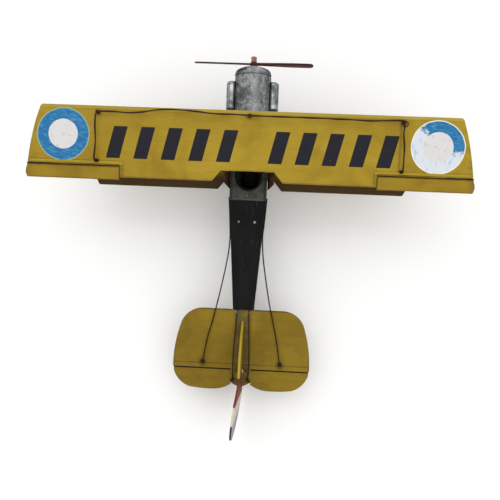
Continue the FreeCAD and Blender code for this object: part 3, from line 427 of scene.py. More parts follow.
def lower_wing_paint():
    """Lower wings: ochre with painted shade, dark brown, towards the trailing edge and the root, where the upper wing
    shades them.
    """
    paint = Paint("lower_wing_paint")
    coat = ochre_coat(paint, tint(140, 114, 20), tint(152, 126, 30), tint(112, 86, 14))
    aft = paint.rise(paint.y, 46, 58)
    front = paint.rise(paint.y, lower_wing.low.y + 4, lower_wing.low.y)
    tip = paint.rise(paint.across, lower_wing.high.x - 14, lower_wing.high.x)
    root = paint.rise(paint.across, 34, 20)
    struts = smudges(paint, [(136.7, 9, 1.0), (136.7, 50, 1.0), (70, 9, 1.0), (70, 50, 1.0)], 8)
    coat = washed(paint, coat, paint.either(front, tip, struts), tint(70, 46, 14), 0.8)
    # Painted shade: dark brown towards the trailing edge and the root, under the upper wing.
    coat = paint.mix(paint.times(paint.either(aft, root), 0.95), coat, tint(60, 40, 3))
    paint.color(coat)
    satin(paint)
    return paint.material


def underside_paint():
    """Undersides: the ochre is thinner here and browner."""
    paint = Paint("underside_paint")
    coat = ochre_coat(paint, tint(128, 102, 34), tint(146, 120, 44), tint(98, 74, 24))
    streak = paint.rise(paint.cloud(10, detail=6, rough=0.7, stretch=(1, 0.3, 1)), 0.5, 0.75)
    paint.color(washed(paint, coat, streak, tint(60, 40, 14), 0.6))
    satin(paint, base=0.5)
    return paint.material


def tail_paint():
    """Tailplane: deep ochre with brown patches, dark rims, a double hinge line and a worn middle."""
    paint = Paint("tail_paint")
    coat = ochre_coat(paint, tint(128, 104, 10), tint(140, 115, 16), tint(108, 84, 8))
    hinge = TAIL_HINGE
    lines = paint.line(paint.y, hinge - 6.0, 0.3, 0.35)
    rim = paint.rise(paint.across, tail.high.x - 1.6, tail.high.x - 0.2)
    front = paint.rise(paint.y, tail.low.y + 1.6, tail.low.y + 0.2)
    aft = paint.rise(paint.y, elevator_box.high.y - 1.2, elevator_box.high.y - 0.1)
    patch = paint.times(paint.rise(paint.cloud(17, detail=5, warp=0.8, shift=(2, 9, 0)), 0.52, 0.72), 0.55)
    worn = paint.times(paint.rise(paint.across, 10, 5.5), paint.rise(paint.cloud(8, detail=5), 0.25, 0.55))
    posts = smudges(paint, [(tail_post_box.high.x - 0.9, tail_post_box.middle.y + 1.0, 1.0)], 6)
    coat = washed(paint, coat, patch, tint(104, 76, 20), 0.5)
    coat = paint.mix(paint.times(worn, 0.8), coat, tint(82, 72, 36))
    coat = washed(paint, coat, paint.either(lines, rim, front, aft), UMBER, 0.85)
    coat = washed(paint, coat, posts, BURNT, 0.75)
    paint.color(coat)
    satin(paint, base=0.45)
    return paint.material


def fin_paint():
    """Fin: ochre sides under a painted highlight along the upper edge."""
    paint = Paint("fin_paint")
    coat = ochre_coat(paint, tint(128, 104, 10), tint(140, 115, 16), tint(108, 84, 8))
    foot = paint.rise(paint.z, fin_box.low.z + 6, fin_box.low.z)
    aft = paint.rise(paint.y, fin_box.high.y - 4, fin_box.high.y - 1)
    coat = washed(paint, coat, paint.either(foot, aft), UMBER, 0.85)
    # Painted highlight along the fin's upper edge.
    bright = paint.rise(paint.across, 1.05, 0.75)
    paint.color(paint.mix(paint.times(bright, 0.75), coat, tint(184, 160, 44)))
    satin(paint, base=0.45)
    return paint.material


def rudder_paint():
    """Rudder: three upright bands, red-brown at the hinge, then cream, then navy, paler on the faces turned to
    starboard.
    """
    paint = Paint("rudder_paint")
    reach = rudder_box.high.y - TAIL_HINGE
    wander = paint.times(paint.sub(paint.cloud(6, detail=4), 0.5), 0.03)
    share = paint.add(paint.math("DIVIDE", paint.sub(paint.y, TAIL_HINGE), reach), wander)
    brush = paint.cloud(4, detail=5, rough=0.65, stretch=(1, 1, 0.3))
    red = paint.mix(brush, tint(84, 34, 24), tint(122, 52, 36))
    cream = paint.mix(brush, tint(190, 178, 146), tint(222, 214, 190))
    navy = paint.mix(brush, tint(26, 26, 40), tint(48, 48, 70))
    coat = paint.mix(paint.rise(share, 0.385, 0.395), red, cream)
    coat = paint.mix(paint.rise(share, 0.665, 0.675), coat, navy)
    facing = paint.node("ShaderNodeSeparateXYZ", paint.node("ShaderNodeNewGeometry").outputs["Normal"]).outputs[0]
    # Paler grey, in patches, on the faces turned to starboard.
    starboard_pale = paint.times(paint.rise(facing, -0.1, -0.6), paint.rise(share, 0.35, 0.5))
    patches = paint.add(0.35, paint.times(paint.rise(paint.cloud(7, detail=5, stretch=(1, 1, 0.4)), 0.3, 0.65), 0.45))
    coat = paint.mix(paint.times(starboard_pale, patches), coat, tint(170, 166, 177))
    rim = paint.rise(share, 0.97, 1.0)
    coat = washed(paint, coat, rim, tint(50, 40, 36), 0.7)
    paint.color(coat)
    satin(paint, base=0.5)
    return paint.material


def deck_paint():
    """Cockpit deck and hull sides: worn olive grey with scratches down to bare metal."""
    paint = Paint("deck_paint")
    patch = paint.cloud(13, detail=5, warp=0.7)
    coat = paint.shades(patch, (0.3, tint(40, 41, 36)), (0.5, tint(62, 64, 57)), (0.72, tint(84, 86, 77)))
    scratch = paint.rise(paint.cloud(2.2, detail=6, rough=0.75, stretch=(1, 0.22, 1)), 0.60, 0.68)
    coat = paint.mix(paint.times(scratch, 0.35), coat, tint(132, 130, 118))
    lap = paint.line(paint.y, Extent("cockpit_deck").high.y - 1.4, 0.4, 0.5)
    coat = paint.mix(paint.times(lap, 0.45), coat, tint(112, 112, 98))
    sides = paint.rise(paint.across, 13.5, 16.5)
    coat = paint.mix(paint.times(sides, 0.6), coat, tint(24, 24, 22))
    grime = paint.rise(paint.cloud(9, detail=6, rough=0.7, shift=(8, 1, 4)), 0.52, 0.74)
    paint.color(paint.mix(paint.times(grime, 0.65), coat, tint(34, 30, 24)))
    paint.metallic(0.25)
    satin(paint, base=0.38)
    return paint.material


def hull_paint():
    """Hull sides: charcoal that is rubbed grey along its edges, olive near the cockpits."""
    paint = Paint("hull_paint")
    patch = paint.cloud(15, detail=5, warp=0.6)
    dark = paint.shades(patch, (0.3, tint(20, 20, 22)), (0.7, tint(40, 40, 43)))
    olive = paint.shades(patch, (0.3, tint(46, 46, 40)), (0.7, tint(80, 80, 70)))
    fore = paint.rise(paint.add(paint.y, paint.times(patch, 10)), 96, 84)
    coat = paint.mix(fore, dark, olive)
    rub = paint.rise(paint.cloud(3, detail=6, rough=0.75, stretch=(1, 0.3, 1)), 0.60, 0.70)
    paint.color(paint.mix(paint.times(rub, 0.35), coat, tint(134, 132, 126)))
    paint.metallic(0.2)
    satin(paint, base=0.4)
    return paint.material


def black_paint():
    """Turtledeck: satin charcoal with dust and faint lengthwise rubs."""
    paint = Paint("black_paint")
    paint.surface.inputs["Specular IOR Level"].default_value = 0.08
    dust = paint.cloud(20, detail=5, stretch=(1, 0.4, 1))
    coat = paint.shades(dust, (0.3, tint(9, 9, 10)), (0.7, tint(23, 22, 23)))
    rub = paint.rise(paint.cloud(2.4, detail=6, rough=0.7, stretch=(1, 0.15, 1)), 0.58, 0.72)
    paint.color(paint.mix(paint.times(rub, 0.22), coat, tint(84, 84, 84)))
    satin(paint, base=0.36)
    return paint.material


def pewter(name, bright=1.0, mottle=1.0):
    """Bare grey metal with a dark mottled patina and a few polished marks."""
    paint = Paint(name, metallic=0.75)
    cloudy = paint.cloud(11, detail=6, rough=0.62, warp=1.2)
    light, middle, dark = [tint(*[value * bright for value in grey]) for grey in (
        (162, 164, 164), (110, 113, 113), (52, 54, 55)
    )]
    coat = paint.shades(cloudy, (0.28, dark), (0.46, middle), (0.66, light))
    spots = paint.rise(paint.cloud(2.6, detail=6, rough=0.7, warp=1.5), 0.52, 0.66)
    coat = paint.mix(paint.times(spots, 0.55 * mottle), coat, tint(40, 42, 43))
    cracks = paint.node("ShaderNodeTexVoronoi", paint.spot, feature="DISTANCE_TO_EDGE")
    cracks.inputs["Scale"].default_value = 0.28
    scored = paint.rise(paint.add(cracks.outputs["Distance"], paint.times(cloudy, 0.12)), 0.11, 0.06)
    coat = paint.mix(paint.times(scored, 0.8 * mottle), coat, tint(26, 28, 28))
    along = paint.rise(paint.cloud(2.0, detail=5, rough=0.6, stretch=(1, 0.08, 0.3), shift=(2, 5, 1)), 0.52, 0.70)
    coat = paint.mix(paint.times(along, 0.5), coat, tint(48, 50, 50))
    glint = paint.rise(paint.cloud(4.2, detail=5, rough=0.65, shift=(4, 4, 4), warp=1.5), 0.62, 0.74)
    coat = paint.mix(paint.times(glint, 0.5), coat, tint(206, 212, 214))
    paint.roughness(paint.add(0.30, paint.times(spots, 0.25)))
    dents = paint.add(paint.times(paint.cloud(5, detail=4, warp=0.8), 0.7), paint.times(paint.cloud(0.9), 0.3))
    paint.bump(dents, 0.9)
    return paint, coat


def cowl_metal():
    paint, coat = pewter("cowl_metal")
    seam = paint.line(paint.y, NOSE_SEAM, 0.15, 0.45)
    # Painted shade darkens each side, where the cowl's arched top falls away; the nose cap is darker at its sides and
    # the seam is a dark line.
    side = paint.rise(paint.across, cowl_box.high.x - 6.5, cowl_box.high.x - 1.0)
    edge = paint.line(paint.across, cowl_box.high.x - 1.9, 0.2, 0.3)
    nose = paint.times(paint.rise(paint.y, NOSE_SEAM - 1.5, NOSE_SEAM - 4.5), paint.rise(paint.x, -6, -13))
    nose_port = paint.times(paint.rise(paint.y, NOSE_SEAM - 0.5, NOSE_SEAM - 2.5), paint.rise(paint.x, 3, 8))
    dark = paint.either(seam, paint.times(side, 0.72), nose, nose_port)
    coat = paint.mix(paint.times(dark, 0.85), coat, tint(34, 36, 37))
    # Painted highlight along the middle of the arched top; a paler line along each side edge.
    bright = paint.times(paint.line(paint.x, -3, 3.5, 5), 0.4)
    coat = paint.mix(bright, coat, tint(176, 178, 180))
    coat = paint.mix(paint.times(edge, 0.5), coat, tint(190, 192, 194))
    paint.color(coat)
    return paint.material


def bank_metal():
    """Engine bank casings: paler metal, dark where they end and along their outer edge, with painted shade in the
    corner against the cowl.
    """
    paint, coat = pewter("bank_metal", bright=1.28, mottle=0.5)
    ends = paint.either(paint.rise(paint.y, bank_box.high.y - 3.2, bank_box.high.y - 1.6), paint.rise(paint.y, bank_box.low.y + 2.6, bank_box.low.y))
    outer = paint.either(
        paint.line(paint.across, bank_box.high.x - 1.3, 0.35, 0.3), paint.line(paint.across, bank_box.high.x - 3.2, 0.15, 0.25)
    )
    # Painted shade in the corner where each casing meets the cowl.
    inner = paint.rise(paint.across, cowl_box.high.x + 1.6, cowl_box.high.x + 0.6)
    paint.color(paint.mix(paint.times(paint.either(ends, outer, inner), 0.85), coat, tint(30, 32, 34)))
    return paint.material


def rust():
    paint = Paint("rust", roughness=0.8)
    scale = paint.cloud(3.2, detail=7, rough=0.72)
    coat = paint.shades(scale, (0.3, tint(34, 20, 13)), (0.48, tint(62, 36, 24)), (0.72, tint(98, 60, 38)))
    paint.color(coat)
    paint.bump(paint.cloud(0.8, detail=5), 0.4)
    return paint.material


def dark_wire():
    """Annealed iron wire: dark brown, scaly, a little bright where it is handled."""
    paint = Paint("dark_wire", metallic=0.35)
    scale = paint.cloud(2.0, detail=5)
    coat = paint.shades(scale, (0.3, tint(30, 18, 12)), (0.6, tint(54, 34, 22)), (0.8, tint(88, 60, 40)))
    paint.color(coat)
    paint.roughness(paint.add(0.4, paint.times(scale, 0.3)))
    paint.bump(paint.cloud(0.5), 0.15)
    return paint.material


def strut_paint():
    """Wing struts: ochre brushed along their length, umber in the corners."""
    paint = Paint("strut_paint")
    coat = ochre_coat(paint, tint(138, 114, 38), tint(156, 132, 50), tint(104, 80, 26))
    ends = paint.either(paint.rise(paint.z, 8, 2), paint.rise(paint.z, 54, 61))
    paint.color(washed(paint, coat, ends, UMBER, 0.85))
    satin(paint)
    return paint.material


def prop_paint():
    """Propeller: thin red-brown paint, dark along its edges."""
    paint = Paint("prop_paint", roughness=0.42)
    grain = paint.cloud(2.4, detail=6, rough=0.65, stretch=(0.12, 1, 1))
    coat = paint.shades(grain, (0.3, tint(58, 30, 27)), (0.55, tint(88, 44, 38)), (0.78, tint(118, 68, 58)))
    rim = paint.rise(paint.math("ABSOLUTE", paint.sub(paint.z, THRUST_HEIGHT)), 2.4, 3.8)
    coat = paint.mix(paint.times(rim, 0.7), coat, tint(30, 16, 15))
    paint.color(coat)
    paint.bump(grain, 0.2)
    return paint.material


def boss_paint():
    paint = Paint("boss_paint", roughness=0.45)
    patch = paint.cloud(1.8, detail=5)
    paint.color(paint.shades(patch, (0.3, tint(134, 82, 74)), (0.7, tint(172, 120, 110))))
    paint.bump(patch, 0.2)
    return paint.material


def bare_metal(name, dark, light, roughness):
    """A worked metal with a patchy tarnish."""
    paint = Paint(name, metallic=0.85)
    tarnish = paint.cloud(2.2, detail=6, rough=0.65)
    paint.color(paint.shades(tarnish, (0.3, dark), (0.7, light)))
    paint.roughness(paint.add(roughness, paint.times(tarnish, 0.25)))
    paint.bump(paint.cloud(0.7), 0.12)
    return paint.material


def tyre_rubber():
    paint = Paint("tyre_rubber", roughness=0.75)
    dust = paint.cloud(4, detail=6, rough=0.7)
    paint.color(paint.shades(dust, (0.35, tint(24, 24, 25)), (0.75, tint(62, 58, 54))))
    paint.bump(paint.cloud(0.6), 0.2)
    return paint.material


def wheel_paint():
    """Wheel covers: grey-olive discs with a rusty rim."""
    paint = Paint("wheel_paint", metallic=0.3)
    patch = paint.cloud(5, detail=6, rough=0.65)
    coat = paint.shades(patch, (0.3, tint(70, 68, 56)), (0.55, tint(112, 110, 94)), (0.75, tint(140, 138, 122)))
    spots = paint.rise(paint.cloud(2.2, detail=6, shift=(3, 3, 3)), 0.58, 0.70)
    paint.color(paint.mix(paint.times(spots, 0.7), coat, tint(84, 48, 28)))
    satin(paint, base=0.4)
    return paint.material


def leather():
    """Cockpit seats: dark brown leather with a pebbled grain."""
    paint = Paint("leather", roughness=0.55)
    shade = paint.cloud(6, detail=4)
    paint.color(paint.shades(shade, (0.3, tint(13, 10, 8)), (0.7, tint(30, 21, 15))))
    cell = paint.node("ShaderNodeTexVoronoi", paint.spot)
    cell.inputs["Scale"].default_value = 1.1
    paint.bump(cell.outputs["Distance"], 0.25)
    return paint.material


NOSE_SEAM = cowl_box.low.y

wing_top = wing_top_paint()
aileron_coat = aileron_paint()
lower_coat = lower_wing_paint()
under_coat = underside_paint()
tail_coat = tail_paint()
fin_coat = fin_paint()
rudder_coat = rudder_paint()
deck_coat = deck_paint()
hull_coat = hull_paint()
black_coat = black_paint()
cowl_finish = cowl_metal()
bank_finish = bank_metal()
rusty = rust()
wire_finish = dark_wire()
strut_coat = strut_paint()
prop_coat = prop_paint()
boss_coat = boss_paint()
steel = bare_metal("steel", tint(92, 92, 92), tint(178, 178, 176), 0.25)
brass = bare_metal("brass", tint(112, 84, 38), tint(196, 160, 84), 0.22)
rivet_metal = bare_metal("rivet_metal", tint(92, 92, 92), tint(172, 171, 168), 0.34)
rubber = tyre_rubber()
wheel_coat = wheel_paint()
hide = leather()
horn_coat = bare_metal("horn_metal", tint(78, 76, 70), tint(150, 148, 146), 0.4)
rim_coat = bare_metal("rim_metal", tint(14, 14, 14), tint(46, 44, 42), 0.35)
bead_coat = bead_paint()
shadow_coat = gap_shade_paint()

FINISHES = {
    "axle_caps": steel,
    "bracing_wires": wire_finish,
    "cabane_struts": strut_coat,
    "cable_guides": steel,
    "cockpit_deck": deck_coat,
    "deck_rivets": rivet_metal,
    "engine_cowl": cowl_finish,
    "fin": fin_coat,
    "firewall": deck_coat,
    "front_cockpit_rim": steel,
    "front_seat": hide,
    "fuselage_shell": hull_coat,
    "hinge_wires": wire_finish,
    "interplane_struts": strut_coat,
    "left_aileron": aileron_coat,
    "left_cylinder_bank": bank_finish,
    "left_elevator": tail_coat,
    "left_exhaust_pipe": rusty,
    "left_lower_wing_skin": lower_coat,
    "left_lower_wing_underside": under_coat,
    "left_tyre": rubber,
    "left_undercarriage_legs": strut_coat,
    "left_wheel_disc": wheel_coat,
    "lower_wing_spars": steel,
    "nose_plate": cowl_finish,
    "propeller": prop_coat,
    "propeller_boss": boss_coat,
    "propeller_shaft": steel,
    "rear_cockpit_rim": steel,
    "rear_seat": hide,
    "rudder": rudder_coat,
    "rudder_cables": wire_finish,
    "rudder_horn": steel,
    "shaft_bush": rim_coat,
    "shaft_collar": steel,
    "spreader_bar": strut_coat,
    "stabilizer": tail_coat,
    "stern_post": hull_coat,
    "tail_skid": wire_finish,
    "tail_wire_posts": wire_finish,
    "tail_wires": wire_finish,
    "thrust_washer": rim_coat,
    "turtledeck": black_coat,
    "upper_wing_skin": wing_top,
    "upper_wing_spars": steel,
    "upper_wing_underside": under_coat,
    "wheel_axle": steel,
    "wing_posts": wire_finish,
    "wing_top_wire": wire_finish,
}
"""Finish of each CAD node; a right-hand node takes its left twin's."""

for name, node in frame["nodes"].items():
    finish = FINISHES.get(name) or FINISHES[name.replace("right_", "left_")]
    if not node.material_slots:
        node.data.materials.append(finish)
    for place in node.material_slots:
        place.material = finish

# Mesh helpers -------------------------------------------------------------------------------------


def piece(name, points, faces, finish, body="airframe", stands_for=(), smooth=True):
    """A mesh drawn in the airframe datum, riding on a body and standing for CAD nodes."""
    mesh = bpy.data.meshes.new(name)
    mesh.from_pydata([tuple(point) for point in points], [], faces)
    return adopt(name, mesh, finish, body, stands_for, smooth)


def adopt(name, mesh, finish, body="airframe", stands_for=(), smooth=True):
    mesh.transform(DATUM)
    mesh.validate()
    shape = bmesh.new()
    shape.from_mesh(mesh)
    bmesh.ops.recalc_face_normals(shape, faces=shape.faces)
    shape.to_mesh(mesh)
    shape.free()
    mesh.materials.clear()
    mesh.materials.append(finish)
    mesh.polygons.foreach_set("use_smooth", [smooth] * len(mesh.polygons))
    made = bpy.data.objects.new(name, mesh)
    bpy.context.scene.collection.objects.link(made)
    if body:
        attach(made, body)
    if stands_for:
        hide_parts(*stands_for)
    return made


def soften(made, width, segments=2, angle=32):
    """Round the sharp edges of a piece by width millimetres."""
    bevel = made.modifiers.new("soften", "BEVEL")
    bevel.width = width * MM
    bevel.segments = segments
    bevel.limit_method = "ANGLE"
    bevel.angle_limit = math.radians(angle)
    bevel.harden_normals = False
    made.data.set_sharp_from_angle(angle=math.radians(50))
    return made


def thicken(made, gauge):
    """Give a sheet its gauge, inward."""
    sheet = made.modifiers.new("gauge", "SOLIDIFY")
    sheet.thickness = gauge * MM
    sheet.offset = -1
    return made


def joined(*solids):
    """Points and faces of several solids as one mesh."""
    points, faces = [], []
    for more_points, more_faces in solids:
        start = len(points)
        points += more_points
        faces += [tuple(start + index for index in face) for face in more_faces]
    return points, faces


def mirror_solid(solid):
    points, faces = solid
    return [(-x, y, z) for x, y, z in points], [tuple(reversed(face)) for face in faces]


def tube(rings, closed=False):
    """Skin over rings of equal length; the ends are capped unless it closes on itself."""
    count = len(rings[0])
    points = [tuple(point) for ring in rings for point in ring]
    faces = []
    last = len(rings) if closed else len(rings) - 1
    for row in range(last):
        after = (row + 1) % len(rings)
        for index in range(count):
            beside = (index + 1) % count
            faces.append((row * count + index, row * count + beside, after * count + beside, after * count + index))
    if not closed:
        faces.append(tuple(range(count - 1, -1, -1)))
        faces.append(tuple((len(rings) - 1) * count + index for index in range(count)))
    return points, faces


def spline(points, step=2.0):
    """A smooth course through the points, sampled about every step millimetres."""
    spots = [Vector(point) for point in points]
    spots = [spots[0] * 2 - spots[1]] + spots + [spots[-1] * 2 - spots[-2]]
    course = []
    for before, start, end, after in zip(spots, spots[1:], spots[2:], spots[3:]):
        count = max(2, int((end - start).length / step))
        for index in range(count):
            share = index / count
            square, cube = share * share, share ** 3
            course.append(0.5 * (
                start * 2 + (end - before) * share
                + (before * 2 - start * 5 + end * 4 - after) * square
                + (start * 3 - before - end * 3 + after) * cube
            ))
    return course + [spots[-2]]


def sweep(course, radius, sides=8, flat=1.0, upward=Vector((0, 0, 1)), closed=False):
    """A round bar along a course; flat squeezes it along the upward direction. radius may be a function."""
    rings = []
    total = len(course) - 1
    for index, spot in enumerate(course):
        ahead = course[(index + 1) % len(course)] if closed else course[min(index + 1, total)]
        behind = course[index - 1] if closed or index else course[0]
        along = (ahead - behind).normalized()
        side = along.cross(upward)
        side = side.normalized() if side.length > 0.05 else along.orthogonal().normalized()
        lift = side.cross(along)
        size = radius(index / total) if callable(radius) else radius
        ring = []
        for corner in range(sides):
            turn = math.tau * corner / sides
            ring.append(spot + side * math.cos(turn) * size + lift * math.sin(turn) * size * flat)
        rings.append(ring)
    return tube(rings, closed)


def hand_bent(points, radius, wobble=0.25, step=2.5, sides=8):
    """A wire bent by hand: its course wanders a little between its ends."""
    course = spline(points, step)
    total = len(course) - 1
    for index, spot in enumerate(course):
        fade = min(1, min(index, total - index) / 3)
        course[index] = spot + noise.noise_vector(spot * 0.06) * wobble * fade
    return sweep(course, radius, sides)


def coil(centre, direction, radius, gauge, turns=1.5, rise=1.0, sides=7):
    """A wire wound round a post: centre, axis direction, radius of the turns, radius of the wire."""
    axis = Vector(direction).normalized()
    first = axis.orthogonal().normalized()
    second = axis.cross(first)
    count = int(turns * 14)
    course = []
    for index in range(count + 1):
        turn = math.tau * turns * index / count
        lift = axis * (rise * (index / count - 0.5))
        course.append(Vector(centre) + first * math.cos(turn) * radius + second * math.sin(turn) * radius + lift)
    return sweep(course, gauge, sides, upward=axis)


def blob(centre, size, squash=0.7, seed=0.0, lumps=0.25, rings=7, sides=10):
    """A lump of solder or a dome, uneven where lumps is more than 0."""
    middle = Vector(centre)
    loops = []
    for row in range(rings + 1):
        tilt = math.pi * (row + 0.02) / (rings + 0.04)
        loop = []
        for corner in range(sides):
            turn = math.tau * corner / sides
            way = Vector((math.sin(tilt) * math.cos(turn), math.sin(tilt) * math.sin(turn), math.cos(tilt)))
            bulge = 1 + lumps * noise.noise(way * 1.3 + Vector((seed, seed, seed)))
            loop.append(middle + Vector((way.x, way.y, way.z * squash)) * size * bulge)
        loops.append(loop)
    return tube(loops)


def lathe(profile, start, direction, sides=48):
    """A body of revolution: profile of (distance, radius) along a direction from a start point."""
    axis = Vector(direction).normalized()
    first = axis.orthogonal().normalized()
    second = axis.cross(first)
    rings = []
    for distance, radius in profile:
        ring = []
        for corner in range(sides):
            turn = math.tau * corner / sides
            ring.append(Vector(start) + axis * distance + (first * math.cos(turn) + second * math.sin(turn)) * radius)
        rings.append(ring)
    return tube(rings)


def arc(centre, radius, start, end, count):
    """Points (u, v) on an arc between two angles in degrees."""
    spots = []
    for index in range(count + 1):
        angle = math.radians(start + (end - start) * index / count)
        spots.append((centre[0] + radius * math.cos(angle), centre[1] + radius * math.sin(angle)))
    return spots


# Wings --------------------------------------------------------------------------------------------

CHORD = wing.high.y
RISE = 4.2
CREST = 20.0
FRONT_EDGE = 1.6
REAR_EDGE = 1.0
COLUMN = 4.0


def camber(run):
    """Height of a wing's upper surface over its flat underside, run millimetres behind its front."""
    if run < CREST:
        drop = RISE - FRONT_EDGE
        radius = (CREST * CREST + drop * drop) / (drop * 2)
        return RISE - radius + math.sqrt(radius * radius - (CREST - run) ** 2)
    drop = RISE - REAR_EDGE
    tail_run = CHORD - CREST
    radius = (tail_run * tail_run + drop * drop) / (drop * 2)
    return RISE - radius + math.sqrt(radius * radius - (run - CREST) ** 2)


def beaten(x, y, amount=0.16):
    """Slight unevenness of sheet metal that was formed by hand."""
    broad = noise.noise(Vector((x * 0.022, y * 0.035, 3.1)))
    fine = noise.noise(Vector((x * 0.06, y * 0.08, 9.4)))
    return amount * (broad + 0.4 * fine)


def lid(rows, floor, height):
    """A cambered sheet with its edges turned down to floor; rows are (y, inner x, outer x, height above)."""
    widest = max(row[2] for row in rows)
    narrowest = min(row[1] for row in rows)
    steps = int((widest - narrowest) / COLUMN)
    stations = [narrowest + (widest - narrowest) * index / steps for index in range(steps + 1)]
    shape = bmesh.new()
    grid = []
    for y, inner, outer, above in rows:
        line = []
        for station in stations:
            x = min(max(station, inner), outer)
            line.append(shape.verts.new((x, y, height + above + beaten(x, y))))
        grid.append(line)
    for line, beyond in zip(grid, grid[1:]):
        for index in range(steps):
            shape.faces.new((line[index], line[index + 1], beyond[index + 1], beyond[index]))
    bmesh.ops.remove_doubles(shape, verts=shape.verts, dist=0.02)
    thin = [face for face in shape.faces if face.calc_area() < 0.004]
    bmesh.ops.delete(shape, geom=thin, context="FACES")
    loose = [vertex for vertex in shape.verts if not vertex.link_faces]
    bmesh.ops.delete(shape, geom=loose, context="VERTS")
    rim = [edge for edge in shape.edges if len(edge.link_faces) == 1 and not on_centreline(edge)]
    grown = bmesh.ops.extrude_edge_only(shape, edges=rim)
    for item in grown["geom"]:
        if isinstance(item, bmesh.types.BMVert):
            item.co.z = floor
    return shape


def on_centreline(edge):
    return all(abs(vertex.co.x) < 0.01 for vertex in edge.verts)


def wing_rows(front, breaks, inner, outer):
    """Rows of a wing: close together at the leading edge and at the breaks of its outline."""
    places = [0.0, 0.35, 1.0, 2.0, 3.2, 3.6]
    place = 6.0
    while place < CHORD:
        places.append(place)
        place += 3.0
    places.append(CHORD)
    rows = []
    for place in sorted(set(places + breaks)):
        lip = 0.28 if place < 3.4 else 0.0
        above = camber(place) + lip - (0.5 if place == 0 else 0)
        y = front + place
        rows.append((y, inner(y - 0.001), outer(y - 0.001), above))
        if place in breaks:
            rows.append((y, inner(y + 0.001), outer(y + 0.001), above))
    return rows


HALF_SPAN = aileron_box.high.x
RAKE = 12.5
TIP_FRONT = HALF_SPAN - RAKE


def upper_outer(y):
    """Edge of the upper wing: a raked tip, cut away at the aileron's bay."""
    if y > BAY_FRONT:
        return AILERON_ROOT
    if y < 3.0:
        return TIP_FRONT - 2.0 * (1 - y / 3.0) ** 1.6
    share = (y - 3.0) / (BAY_FRONT - 3.0)
    bulge = 0.75 * math.sin(math.pi * share)
    return TIP_FRONT + RAKE * 0.82 * share + bulge


def upper_inner(y):
    """The cut-out over the rear cockpit."""
    start = CHORD - CUTOUT_DEPTH
    if y < start:
        return 0.0
    return CUTOUT_HALF + (CUTOUT_AFT - CUTOUT_HALF) * (y - start) / CUTOUT_DEPTH


def upper_wing():
    rows = wing_rows(0.0, [BAY_FRONT, CHORD - CUTOUT_DEPTH], upper_inner, upper_outer)
    half = lid(rows, TOP_FLOOR + GAUGE, TOP_FLOOR)
    mesh = bpy.data.meshes.new("upper_wing_sheet")
    twin = bmesh.ops.duplicate(half, geom=half.verts[:] + half.edges[:] + half.faces[:])
    for item in twin["geom"]:
        if isinstance(item, bmesh.types.BMVert):
            item.co.x = -item.co.x
    bmesh.ops.remove_doubles(half, verts=[v for v in half.verts if abs(v.co.x) < 0.01], dist=0.3)
    half.to_mesh(mesh)
    half.free()
    made = adopt("upper_wing_sheet", mesh, wing_top, stands_for=["upper_wing_skin"])
    soften(made, 0.45)
    thicken(made, GAUGE * 0.8)


def lower_outer(y):
    run = y - lower_wing.low.y
    tip = lower_wing.high.x
    if run < 3:
        return tip - 2 - 7 * (1 - run / 3) ** 1.5
    if run < CHORD - 8:
        return tip - 2 + 2 * (run - 3) / (CHORD - 11)
    return tip - 3.2 * ((run - CHORD + 8) / 8) ** 2


def lower_inner(y):
    run = y - lower_wing.low.y
    start = CHORD - CUTOUT_DEPTH
    if run < start:
        return lower_wing.low.x
    return CUTOUT_HALF + (CUTOUT_AFT - CUTOUT_HALF) * (run - start) / CUTOUT_DEPTH


def lower_wings():
    rows = wing_rows(lower_wing.low.y, [CHORD - 8.0, CHORD - CUTOUT_DEPTH], lower_inner, lower_outer)
    for side, word in ((1, "left"), (-1, "right")):
        shape = lid(rows, GAUGE, 0)
        mesh = bpy.data.meshes.new(f"{word}_lower_wing_sheet")
        for vertex in shape.verts:
            vertex.co.x *= side
        shape.to_mesh(mesh)
        shape.free()
        made = adopt(
            f"{word}_lower_wing_sheet", mesh, lower_coat, stands_for=[f"{word}_lower_wing_skin"]
        )
        soften(made, 0.45)
        thicken(made, GAUGE * 0.8)


HINGE_NOSE = 1.1
HINGE_PLACE = aileron_box.low.y + HINGE_NOSE
HINGE_HEIGHT = TOP_FLOOR + HINGE_NOSE


def ailerons():
    """A rolled nose round the hinge wire and a thin wedge behind it, with a rounded trailing edge."""
    rear = aileron_box.high.y
    base = TOP_FLOOR
    nose = arc((HINGE_PLACE, HINGE_HEIGHT), HINGE_NOSE, 270, 90, 10)
    top = [(HINGE_PLACE + (rear - 0.4 - HINGE_PLACE) * share, 0) for share in (0.15, 0.35, 0.6, 0.85, 1.0)]
    top = [(y, base + 2.2 - 1.2 * (y - HINGE_PLACE) / (rear - HINGE_PLACE)) for y, _ in top]
    profile = nose + top + arc((rear - 0.4, base + 0.6), 0.4, 60, -60, 4)
    root = aileron_box.low.x

    def tip(y):
        start = HALF_SPAN - RAKE * 0.16
        if y < rear - 6:
            return start + RAKE * 0.16 * max(0, (y - HINGE_PLACE) / (rear - 6 - HINGE_PLACE))
        return HALF_SPAN - 1.8 * ((y - rear + 6) / 6) ** 2

    shares = [index / 22 for index in range(23)]
    for side, word in ((1, "left"), (-1, "right")):
        rings = []
        for share in shares:
            ring = []
            for y, z in profile:
                x = root + (tip(y) - root) * share
                dent = beaten(x, y, 0.10) if y > HINGE_PLACE + 0.5 else 0
                ring.append((x * side, y, z + dent))
            rings.append(ring)
        points, faces = tube(rings)
        made = piece(
            f"{word}_aileron_sheet", points, faces, aileron_coat, f"{word}_aileron",
            [f"{word}_aileron"],
        )
        soften(made, 0.3, angle=40)


